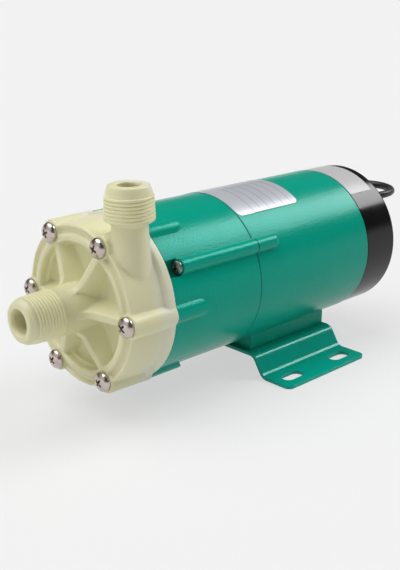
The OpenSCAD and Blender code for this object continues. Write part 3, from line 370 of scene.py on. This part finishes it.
# Cast aluminium of the end shields: pale grey, pebbled by the mould
cast_aluminium = surface(
    "cast_aluminium", ("#b3b6b8", "#9fa3a6"), patch=9, rough=(0.38, 0.55), grain=(0.8, 0.020), edge=0.3,
    **METAL)
# Stacked electrical sheet: edges of 0.5 mm sheets, drawn at 1 mm so that they show
stacked_sheet = surface(
    "stacked_sheet", ("#7d8185", "#686c70"), patch=10, rough=(0.34, 0.50), grain=(0.6, 0.006), edge=0.15,
    lines=("BANDS", "X", 1.0, 0.030), **METAL)
# Varnished copper winding: strands of 0.6 mm wire, drawn at 1.2 mm, under a brown varnish
varnished_copper = surface(
    "varnished_copper", ("#b0642f", "#8f4c20"), patch=5, rough=(0.22, 0.34), grain=(0.8, 0.030),
    lines=("RINGS", "X", 1.2, 0.120), **{"Metallic": 0.7, "Coat Weight": 0.6, "Coat Roughness": 0.2})
# White moulded plastic of the terminal block, capacitor and tie
white_polyamide = surface(
    "white_polyamide", ("#e6e5e0", "#dad8d1"), patch=10, rough=(0.32, 0.44), grain=(0.7, 0.006), edge=0.25)
# Flexible PVC of the cord, sleeve and plug: soft black, a little greasy in its shine
flexible_pvc = surface(
    "flexible_pvc", ("#1d1d1e", "#262627"), patch=9, rough=(0.36, 0.48), grain=(0.8, 0.008), edge=0.3)
# White vinyl label: flat, with a low even sheen
white_vinyl = surface(
    "white_vinyl", ("#c6c6c6", "#bebebd"), patch=16, rough=(0.34, 0.42), grain=(0.8, 0.003))

FINISHES = {
    natural_polypropylene: ["front_casing", "impeller", "impeller_shroud", "rear_casing"],
    polished_stainless: ["casing_screws"],
    turned_brass: ["threaded_inserts", "bearing_cages", "plug_pins"],
    turned_ptfe: ["mouth_ring"],
    ground_alumina: ["front_thrust_ring", "spindle", "rear_thrust_washer"],
    filled_polypropylene: ["magnet_capsule", "capsule_cap"],
    sintered_ferrite: ["inner_magnet", "drive_magnets"],
    carbon_graphite: ["impeller_bush"],
    seal_rubber: ["casing_seal"],
    turned_steel: ["drive_yoke"],
    green_textured_enamel: ["bracket", "motor_housing"],
    sheet_enamel_with_painted_light: ["base_plate"],
    cast_aluminium: ["front_end_shield", "rear_end_shield", "rotor_end_rings"],
    stacked_sheet: ["stator_core", "rotor_core"],
    varnished_copper: ["end_windings"],
    ground_steel: ["motor_shaft"],
    bearing_steel: ["bearing_outer_rings", "bearing_inner_rings", "bearing_balls"],
    zinc_plated_steel: ["drive_set_screw", "wave_washer", "cover_screws", "capacitor_clip", "clip_screws",
                        "base_screws"],
    chromated_steel: ["bracket_screws"],
    black_abs: ["rear_cover"],
    white_polyamide: ["terminal_block", "run_capacitor", "cord_tie"],
    flexible_pvc: ["cable_sleeve", "power_cord", "cord_coil", "cord_tail", "plug_body"],
}
for finish, covered in FINISHES.items():
    for name in covered:
        for held in nodes[name].material_slots:
            held.material = finish
supply_cord.data.materials.append(flexible_pvc)


# Front casing: the CAD casing with its edges and corners softened as a mould leaves them, in millimetres
MOULD_VOXEL = 0.60
MOULD_SMOOTHING = 2
MOULD_SOFTNESS = 0.5
MOULD_KEEP = 0.6
# How far past its rim and outside its crests a barrel is turned down, and how deep under the ridges' foot a
# face still counts as the barrel's
PAST_RIM = 3.0
PAST_CREST = 0.4
BARREL_SKIN = 0.5
MOUTH_WIDER = 0.7
MOUTH_DEEP = 1.5
# Threads: depth of the barrel under the crests, and bare lead-in at the rim, for each nozzle
THREAD_DEEP = {"suction_thread": 0.40, "discharge_thread": 0.55}
BARE_LEAD = {"suction_thread": 0.0, "discharge_thread": 2.4}
LEAD_SLOPE = 0.3
THREAD_PITCH = 1.814
THREAD_TAPER = 0.6
THREAD_STEPS = 72
# A ridge's radius as a share of the pitch, the share of its length over which each end fades, and the share
# of its size that is left there
RIDGE_SHARE = 0.45
RIDGE_FADE = 0.15
RIDGE_END = 0.2
RIDGE_SIDES = 12


def along(mount, place):
    """How far a place lies along a nozzle from the middle of its thread, and its way out from the axis."""
    axis = Vector(mount["axis"])
    away = place - Vector(mount["pos_m"])
    reach = away.dot(axis)
    return reach, away - axis * reach


def thread_root(mount, reach):
    """Radius at the ridges' foot, which narrows towards the rim, and more so along a bare lead-in."""
    length = mount["dims"]["length_mm"]
    share = reach / (length * MM) + 0.5
    lead = BARE_LEAD[mount["name"]]
    past = max(reach / MM - length / 2 + lead, 0.0) if lead else 0.0
    deep = THREAD_DEEP[mount["name"]] + THREAD_TAPER * share + LEAD_SLOPE * past
    return (mount["dims"]["r_mm"] - deep) * MM


def in_thread(mount, place):
    """Whether a place lies on a nozzle's barrel among its ridges."""
    reach, away = along(mount, place)
    half = mount["dims"]["length_mm"] / 2 * MM
    among = -half < reach < half - BARE_LEAD[mount["name"]] * MM
    return among and away.length > thread_root(mount, reach) - BARREL_SKIN * MM


def turn_down(mesh, mount):
    """Takes a nozzle's barrel down to the foot of its ridges."""
    half = mount["dims"]["length_mm"] / 2 * MM
    outer = (mount["dims"]["r_mm"] + PAST_CREST) * MM
    for vertex in mesh.vertices:
        reach, away = along(mount, vertex.co)
        root = thread_root(mount, reach)
        if -half < reach < half + PAST_RIM * MM and root < away.length < outer:
            vertex.co -= away * (1 - root / away.length)


def open_mouth(mesh):
    """Opens the suction bore with a small chamfer at its tip."""
    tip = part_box("front_casing")[0].x
    bore_r = mounts["suction_bore"]["dims"]["r_mm"]
    for vertex in mesh.vertices:
        open_share = 1 - (vertex.co.x - tip) / (MOUTH_DEEP * MM)
        away = along(suction, vertex.co)[1]
        mouth = (bore_r + MOUTH_WIDER * open_share) * MM
        if open_share > 0 and away.length < mouth:
            vertex.co += away * (mouth / away.length - 1)


def make_casing():
    """Softens a copy of the casing, cuts its barrels and its mouth, and sets its two finishes."""
    mesh = written(merged(nodes["front_casing"].data), bpy.data.meshes.new("moulded_casing"))
    made = piece("moulded_casing", mesh)
    remesh = made.modifiers.new("remesh", "REMESH")
    remesh.mode = "VOXEL"
    remesh.voxel_size = MOULD_VOXEL * MM
    mesh = settled(made)
    work = opened(mesh)
    for _ in range(MOULD_SMOOTHING):
        bmesh.ops.smooth_vert(work, verts=work.verts, factor=MOULD_SOFTNESS,
                              use_axis_x=True, use_axis_y=True, use_axis_z=True)
    made.data = written(work, mesh)
    made.modifiers.new("lighter", "DECIMATE").ratio = MOULD_KEEP
    mesh = settled(made)
    for mount in (suction, discharge):
        turn_down(mesh, mount)
    open_mouth(mesh)
    mesh.shade_smooth()
    mesh.materials.clear()
    mesh.materials.append(natural_polypropylene)
    mesh.materials.append(thread_polypropylene_painted_glow)
    for face in mesh.polygons:
        face.material_index = int(any(in_thread(mount, face.center) for mount in (suction, discharge)))
    made.data = mesh
    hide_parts("front_casing")


def tree_inputs(name, **kinds):
    """An empty geometry tree with named inputs, and the outputs of its group input."""
    tree = bpy.data.node_groups.new(name, "GeometryNodeTree")
    tree.interface.new_socket("Geometry", in_out="INPUT", socket_type="NodeSocketGeometry")
    for label, kind in kinds.items():
        tree.interface.new_socket(label, in_out="INPUT", socket_type=kind)
    tree.interface.new_socket("Geometry", in_out="OUTPUT", socket_type="NodeSocketGeometry")
    return tree, tree.nodes.new("NodeGroupInput").outputs


def finish_tree(tree, shape, material):
    """Ends a tree: its instances made real and its material set."""
    real = add(tree, "GeometryNodeRealizeInstances", {"Geometry": shape})
    painted = add(tree, "GeometryNodeSetMaterial", {
        "Geometry": real.outputs["Geometry"], "Material": material})
    add(tree, "NodeGroupOutput", {"Geometry": painted.outputs["Geometry"]})
    return tree


def grown(name, tree, base, **sizes):
    """Runs a tree on a base mesh with the given sizes and keeps the result as a plain mesh."""
    made = piece(name, base)
    modifier = made.modifiers.new(name, "NODES")
    modifier.node_group = tree
    for item in tree.interface.items_tree:
        if item.in_out == "INPUT" and item.name in sizes:
            modifier[item.identifier] = sizes[item.name]
    made.data = settled(made)
    return made


def thread_tree():
    """A round ridge along a tapered right-hand helix that rises out of the barrel and sinks back into it."""
    tree, given = tree_inputs("pipe_thread", Foot_Radius="NodeSocketFloat", Rim_Radius="NodeSocketFloat",
                              Length="NodeSocketFloat", Turns="NodeSocketFloat",
                              Ridge_Radius="NodeSocketFloat", Fade="NodeSocketFloat",
                              Material="NodeSocketMaterial")
    helix = add(tree, "GeometryNodeCurveSpiral", {
        "Resolution": THREAD_STEPS, "Rotations": given["Turns"], "Start Radius": given["Foot_Radius"],
        "End Radius": given["Rim_Radius"], "Height": given["Length"], "Reverse": True})
    place = add(tree, "GeometryNodeSplineParameter").outputs["Factor"]
    left = add(tree, "ShaderNodeMath", {0: 1.0, 1: place}, operation="SUBTRACT")
    nearer = add(tree, "ShaderNodeMath", {0: place, 1: left.outputs[0]}, operation="MINIMUM")
    rise = add(tree, "ShaderNodeMapRange", {
        "Value": nearer.outputs[0], "From Max": given["Fade"], "To Min": RIDGE_END, "To Max": 1.0})
    faded = add(tree, "GeometryNodeSetCurveRadius", {
        "Curve": helix.outputs["Curve"], "Radius": rise.outputs["Result"]})
    ridge = add(tree, "GeometryNodeCurvePrimitiveCircle", {
        "Resolution": RIDGE_SIDES, "Radius": given["Ridge_Radius"]})
    swept = add(tree, "GeometryNodeCurveToMesh", {
        "Curve": faded.outputs["Curve"], "Profile Curve": ridge.outputs["Curve"], "Fill Caps": True})
    smooth = add(tree, "GeometryNodeSetShadeSmooth", {"Geometry": swept.outputs["Mesh"]})
    return finish_tree(tree, smooth.outputs["Geometry"], given["Material"])


def make_thread(name, mount, tree):
    """The thread's ridges on one nozzle, from its foot towards its rim."""
    length = mount["dims"]["length_mm"]
    crest = mount["dims"]["r_mm"]
    ridge = THREAD_PITCH * RIDGE_SHARE
    cut = length - ridge - BARE_LEAD[mount["name"]]
    made = grown(name, tree, bpy.data.meshes.new(name), Foot_Radius=(crest - ridge) * MM,
                 Rim_Radius=(crest - ridge - THREAD_TAPER * cut / length) * MM, Length=cut * MM,
                 Turns=cut / THREAD_PITCH, Ridge_Radius=ridge * MM, Fade=RIDGE_FADE,
                 Material=thread_polypropylene_painted_glow)
    axis = Vector(mount["axis"])
    foot = Vector(mount["pos_m"]) - axis * (length / 2 - ridge / 2) * MM
    made.data.transform(Matrix.Translation(foot) @ axis.to_track_quat("Z", "Y").to_matrix().to_4x4())


make_casing()
pipe_thread = thread_tree()
make_thread("suction_ridges", suction, pipe_thread)
make_thread("discharge_ridges", discharge, pipe_thread)


# Cross-head screws, each set in place of its CAD node, in millimetres and degrees
HEAD_SIDES = 48
HEAD_INSET = 0.2
HEAD_SHARP = 38
DOME_STEP = 9
# Depth of the cross as a share of the head's height, and half a slot's length and width as shares of the
# cross's reach, at its floor and at the cutter's top above the head
CROSS_DEEP = 0.66
CROSS_FLOOR = (0.42, 0.13)
CROSS_TOP = (1.1, 0.24)
CROSS_ABOVE = 2.0
BOX_FACES = ((3, 2, 1, 0), (4, 5, 6, 7), (0, 1, 5, 4), (1, 2, 6, 5), (2, 3, 7, 6), (3, 0, 4, 7))


def solids(node):
    """The lowest and highest corner of each separate solid of a CAD node."""
    work = merged(nodes[node].data)
    seen, found = set(), []
    for first in work.verts:
        if first in seen:
            continue
        seen.add(first)
        reached = [first]
        for vertex in reached:
            for edge in vertex.link_edges:
                other = edge.other_vert(vertex)
                if other not in seen:
                    seen.add(other)
                    reached.append(other)
        found.append([Vector([pick(v.co[i] for v in reached) for i in range(3)]) for pick in (min, max)])
    work.free()
    return found


def turned(name, outline):
    """A mesh turned about z from an outline of radius and height that starts and ends on the axis."""
    work = bmesh.new()
    rings = []
    for radius, height in outline:
        ring = []
        for i in range(HEAD_SIDES if radius > MERGE else 1):
            angle = 2 * math.pi * i / HEAD_SIDES
            ring.append(work.verts.new((radius * math.cos(angle), radius * math.sin(angle), height)))
        rings.append(ring)
    for low, high in zip(rings, rings[1:]):
        for i in range(HEAD_SIDES):
            j = i + 1
            corners = [low[i % len(low)], low[j % len(low)], high[j % len(high)], high[i % len(high)]]
            work.faces.new(list(dict.fromkeys(corners)))
    bmesh.ops.recalc_face_normals(work, faces=work.faces)
    return written(work, bpy.data.meshes.new(name))


def cross_cutter(reach, deep, top):
    """Two crossed wedges, narrower at the bottom, that cut a driver's recess."""
    work = bmesh.new()
    for turn in (0, math.pi / 2):
        corners = []
        for height, (long, wide) in ((top - deep, CROSS_FLOOR), (top + CROSS_ABOVE * MM, CROSS_TOP)):
            for x, y in ((-long, -wide), (long, -wide), (long, wide), (-long, wide)):
                spot = Vector((x * reach, y * reach, height))
                corners.append(work.verts.new(Matrix.Rotation(turn, 3, "Z") @ spot))
        for face in BOX_FACES:
            work.faces.new([corners[i] for i in face])
    return written(work, bpy.data.meshes.new("cross_cutter"))


def cleaned(mesh):
    """A cut mesh in triangles, without those that have no area."""
    work = opened(mesh)
    bmesh.ops.triangulate(work, faces=work.faces)
    bmesh.ops.dissolve_degenerate(work, edges=work.edges, dist=MERGE)
    bmesh.ops.remove_doubles(work, verts=work.verts, dist=MERGE)
    return written(work, mesh)


def screw_tree():
    """Sets one screw on each point, turned about its own axis by a fixed draw."""
    tree, given = tree_inputs("screw_set", Screw="NodeSocketObject", Seed="NodeSocketInt",
                              Material="NodeSocketMaterial")
    screw = add(tree, "GeometryNodeObjectInfo", {"Object": given["Screw"]})
    turn = add(tree, "FunctionNodeRandomValue", {"Max": math.pi, "Seed": given["Seed"]}, data_type="FLOAT")
    about = add(tree, "ShaderNodeCombineXYZ", {"X": [s for s in turn.outputs if s.enabled][0]})
    placed = add(tree, "GeometryNodeInstanceOnPoints", {
        "Points": given["Geometry"], "Instance": screw.outputs["Geometry"],
        "Rotation": about.outputs["Vector"]})
    return finish_tree(tree, placed.outputs["Instances"], given["Material"])


def make_screws(name, node, tree, finish, head_high, edge, recess, shank_d, facing, seed):
    """Domed cross-head screws with their shanks where the CAD screws are; edge is the height share of the
    head's straight side, recess the cross's reach as a share of the head, facing the heads' way along x."""
    places = solids(node)
    low, high = places[0]
    tall = head_high * MM
    head_r = (high.y - low.y) / 2
    shank_r = shank_d / 2 * MM
    shank_long = high.x - low.x - tall
    outline = [(0, -shank_long), (shank_r, -shank_long), (shank_r, 0), (head_r - HEAD_INSET * MM, 0)]
    for degrees in range(90, 0, -DOME_STEP):
        angle = math.radians(degrees)
        outline.append((head_r * math.sin(angle), tall * (edge + (1 - edge) * math.cos(angle))))
    outline.append((0, tall))
    head = linked(name + "_one", turned(name + "_one", outline))
    cutter = linked(name + "_cutter", cross_cutter(head_r * recess, tall * CROSS_DEEP, tall))
    cut = head.modifiers.new("recess", "BOOLEAN")
    cut.object = cutter
    cut.operation = "DIFFERENCE"
    cut.solver = "EXACT"
    cut.use_self = True
    head.data = cleaned(settled(head))
    head.data.transform(Matrix.Rotation(math.radians(90) * facing, 4, "Y"))
    shaded(head.data, HEAD_SHARP)
    seats = bpy.data.meshes.new(name)
    seat_x = low.x + tall if facing < 0 else high.x - tall
    seats.from_pydata([(seat_x, (a.y + b.y) / 2, (a.z + b.z) / 2) for a, b in places], [], [])
    made = grown(name, tree, seats, Screw=head, Seed=seed, Material=finish)
    for helper in (head, cutter):
        bpy.data.objects.remove(helper)
    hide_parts(node)


screw_set = screw_tree()
make_screws("casing_cross_screws", "casing_screws", screw_set, polished_stainless,
            head_high=4.25, edge=0.22, recess=0.58, shank_d=5.0, facing=-1, seed=4)
make_screws("bracket_cross_screws", "bracket_screws", screw_set, chromated_steel,
            head_high=2.8, edge=0.50, recess=0.72, shank_d=4.0, facing=-1, seed=9)
make_screws("cover_cross_screws", "cover_screws", screw_set, zinc_plated_steel,
            head_high=1.9, edge=0.30, recess=0.62, shank_d=4.0, facing=1, seed=2)


# Blank plate on the housing and blank label on the cover, in millimetres and degrees
HOUSING_R = 46.3
SHEET_IN = 0.7
SHEET_COLUMNS = 40
SHEET_ROWS = 28
SHEET_SHARP = 40
CORNER_STEPS = 6
PLATE_END = 52.0
PLATE_HALF = 36
PLATE_CORNER = 4.0
PLATE_THICK = 0.25
PLATE_HEADER = 13.0
PLATE_ROW = 6.5
PLATE_COLUMN = 29.0
PLATE_RULE = 0.16
PLATE_RULE_BLUR = 0.3
PLATE_OVERLAP = 0.2
PLATE_STREAK = 1.25
STREAK_DETAIL = 3.0
PLATE_ROUGH = (0.26, 0.42)
# The print covers part of the metal
PLATE_METAL = 0.35
LABEL_BACK = 7.0
LABEL_HALF = 40
LABEL_CORNER = 1.0
LABEL_THICK = 0.15


def wrapped(name, low_x, high_x, radius, half_angle, corner, thick):
    """A thin sheet with rounded corners laid over the top of a drum, its UV map in millimetres."""
    half = radius * math.radians(half_angle)
    between = high_x - low_x - 2 * corner
    ends = [corner * (1 - math.cos(math.radians(90 * i / CORNER_STEPS))) for i in range(CORNER_STEPS + 1)]
    stops = [low_x + e for e in ends]
    stops += [low_x + corner + between * (i + 1) / SHEET_ROWS for i in range(SHEET_ROWS)]
    stops += [high_x - e for e in reversed(ends[:-1])]
    spots, unrolled = [], []
    for x in stops:
        inset = max(low_x + corner - x, x - (high_x - corner), 0.0)
        reach = half - corner + math.sqrt(max(corner ** 2 - inset ** 2, 0.0))
        for i in range(SHEET_COLUMNS + 1):
            arc = reach * (2 * i / SHEET_COLUMNS - 1)
            angle = arc / radius
            spots.append((x, radius * math.sin(angle), AXIS_HIGH + radius * math.cos(angle)))
            unrolled.append((arc / MM, (x - low_x) / MM))
    wide = SHEET_COLUMNS + 1
    faces = [(r * wide + c, (r + 1) * wide + c, (r + 1) * wide + c + 1, r * wide + c + 1)
             for r in range(len(stops) - 1) for c in range(SHEET_COLUMNS)]
    mesh = bpy.data.meshes.new(name)
    mesh.from_pydata(spots, [], faces)
    layer = mesh.uv_layers.new(name="unrolled")
    for loop in mesh.loops:
        layer.data[loop.index].uv = unrolled[loop.vertex_index]
    made = piece(name, mesh)
    wall = made.modifiers.new("wall", "SOLIDIFY")
    wall.thickness = thick
    wall.offset = 1.0
    made.data = shaded(settled(made), SHEET_SHARP)
    return made


def ruled_plate():
    """Satin aluminium plate, printed: silver grey with thin dark rules between empty rows."""
    made, tree = empty_material("satin_aluminium_plate")
    place = add(tree, "ShaderNodeTexCoord").outputs["UV"]
    shifted = add(tree, "ShaderNodeMapping", {
        "Vector": place, "Location": (2 * PLATE_COLUMN, -PLATE_HEADER, 0.0)})
    rules = add(tree, "ShaderNodeTexBrick", {
        "Vector": shifted.outputs["Vector"], "Color1": linear("#d4d7de"), "Color2": linear("#ced1d9"),
        "Mortar": linear("#6d727b"), "Mortar Size": PLATE_RULE, "Mortar Smooth": PLATE_RULE_BLUR,
        "Brick Width": PLATE_COLUMN, "Row Height": PLATE_ROW, "Scale": 1.0}, offset=0.0)
    across = add(tree, "ShaderNodeSeparateXYZ", {"Vector": place})
    ruled = add(tree, "ShaderNodeMath", {
        0: across.outputs["Y"], 1: PLATE_HEADER - PLATE_OVERLAP}, operation="GREATER_THAN")
    printed = add(tree, "ShaderNodeMix", {
        "Factor": ruled.outputs[0], COLOR_A: linear("#d7dae1"), COLOR_B: rules.outputs["Color"]},
        data_type="RGBA")
    streak = add(tree, "ShaderNodeTexNoise", {
        "Vector": place, "Scale": 1 / PLATE_STREAK, "Detail": STREAK_DETAIL})
    sheen = add(tree, "ShaderNodeMapRange", {
        "Value": streak.outputs["Fac"], "To Min": PLATE_ROUGH[0], "To Max": PLATE_ROUGH[1]})
    body = add(tree, "ShaderNodeBsdfPrincipled", {
        "Base Color": printed.outputs[COLOR_OUT], "Metallic": PLATE_METAL,
        "Roughness": sheen.outputs["Result"]})
    add(tree, "ShaderNodeOutputMaterial", {"Surface": body.outputs["BSDF"]})
    return made


cover_low, cover_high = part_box("rear_cover")
cover_r = (cover_high.y - cover_low.y) / 2
plate = wrapped("blank_plate", housing_low.x + SHEET_IN * MM, housing_low.x + PLATE_END * MM, HOUSING_R * MM,
                PLATE_HALF, PLATE_CORNER * MM, PLATE_THICK * MM)
plate.data.materials.append(ruled_plate())
label = wrapped("blank_label", housing_high.x + SHEET_IN * MM, cover_high.x - LABEL_BACK * MM, cover_r,
                LABEL_HALF, LABEL_CORNER * MM, LABEL_THICK * MM)
label.data.materials.append(white_vinyl)


# Studio: a pale floor that runs out of the picture, a wide soft light overhead with a weak one in front and
# a strip behind, and a dim room
FLOOR_TONE = "#dcdcdc"
FLOOR_LIGHT = "#fbfbfb"
FLOOR_HALF = 30.0
FLOOR_GLOW = 0.60
RIM_LEVEL = 0.87
RIM_HIGH = (0.05, 0.16)
ROOM_LEVEL = 0.08
# Each light's side, strength and width in degrees
LIGHTS = {
    "overhead_softbox": ((-0.24, 0.26, 0.93), 2.00, 52),
    "front_fill": ((-0.86, 0.16, 0.48), 0.45, 60),
    "rear_strip": ((0.73, -0.225, 0.645), 1.60, 28),
}


def make_floor():
    """A matt pale floor that glows where it is seen or mirrored, so that shadows stay light."""
    corners = [(x * FLOOR_HALF, y * FLOOR_HALF, 0.0) for x, y in ((-1, -1), (1, -1), (1, 1), (-1, 1))]
    mesh = bpy.data.meshes.new("studio_floor")
    mesh.from_pydata(corners, [], [(0, 1, 2, 3)])
    paint, tree = empty_material("studio_paper")
    ray = add(tree, "ShaderNodeLightPath").outputs
    seen = ray["Is Camera Ray"]
    for other in ("Is Glossy Ray", "Is Transmission Ray"):
        seen = add(tree, "ShaderNodeMath", {0: seen, 1: ray[other]}, operation="MAXIMUM").outputs[0]
    glow = add(tree, "ShaderNodeMath", {0: seen, 1: FLOOR_GLOW}, operation="MULTIPLY")
    paper = add(tree, "ShaderNodeBsdfDiffuse", {"Color": linear(FLOOR_TONE)})
    light = add(tree, "ShaderNodeEmission", {"Color": linear(FLOOR_LIGHT), "Strength": 1.0})
    both = add(tree, "ShaderNodeMixShader", {
        "Fac": glow.outputs[0], 1: paper.outputs[0], 2: light.outputs[0]})
    add(tree, "ShaderNodeOutputMaterial", {"Surface": both.outputs[0]})
    mesh.materials.append(paint)
    linked("studio_floor", mesh)


def make_room():
    """A dim room with a pale rim above the floor, which fades upwards."""
    world = bpy.data.worlds.new("studio_room")
    scene.world = world
    world.use_nodes = True
    tree = world.node_tree
    tree.nodes.clear()
    view = add(tree, "ShaderNodeTexCoord").outputs["Generated"]
    way = add(tree, "ShaderNodeSeparateXYZ", {"Vector": view})
    level = add(tree, "ShaderNodeMapRange", {
        "Value": way.outputs["Z"], "From Min": RIM_HIGH[0], "From Max": RIM_HIGH[1],
        "To Min": RIM_LEVEL, "To Max": ROOM_LEVEL})
    wall = add(tree, "ShaderNodeBackground", {
        "Color": linear("#ffffff"), "Strength": level.outputs["Result"]})
    add(tree, "ShaderNodeOutputWorld", {"Surface": wall.outputs["Background"]})


def soft_light(name, source, strength, wide):
    """A distant soft light from the given side, as many degrees wide as a large softbox close by."""
    lamp = bpy.data.lights.new(name, "SUN")
    lamp.energy = strength
    lamp.angle = math.radians(wide)
    aim(linked(name, lamp), source)


make_floor()
make_room()
for name, (source, strength, wide) in LIGHTS.items():
    soft_light(name, source, strength, wide)
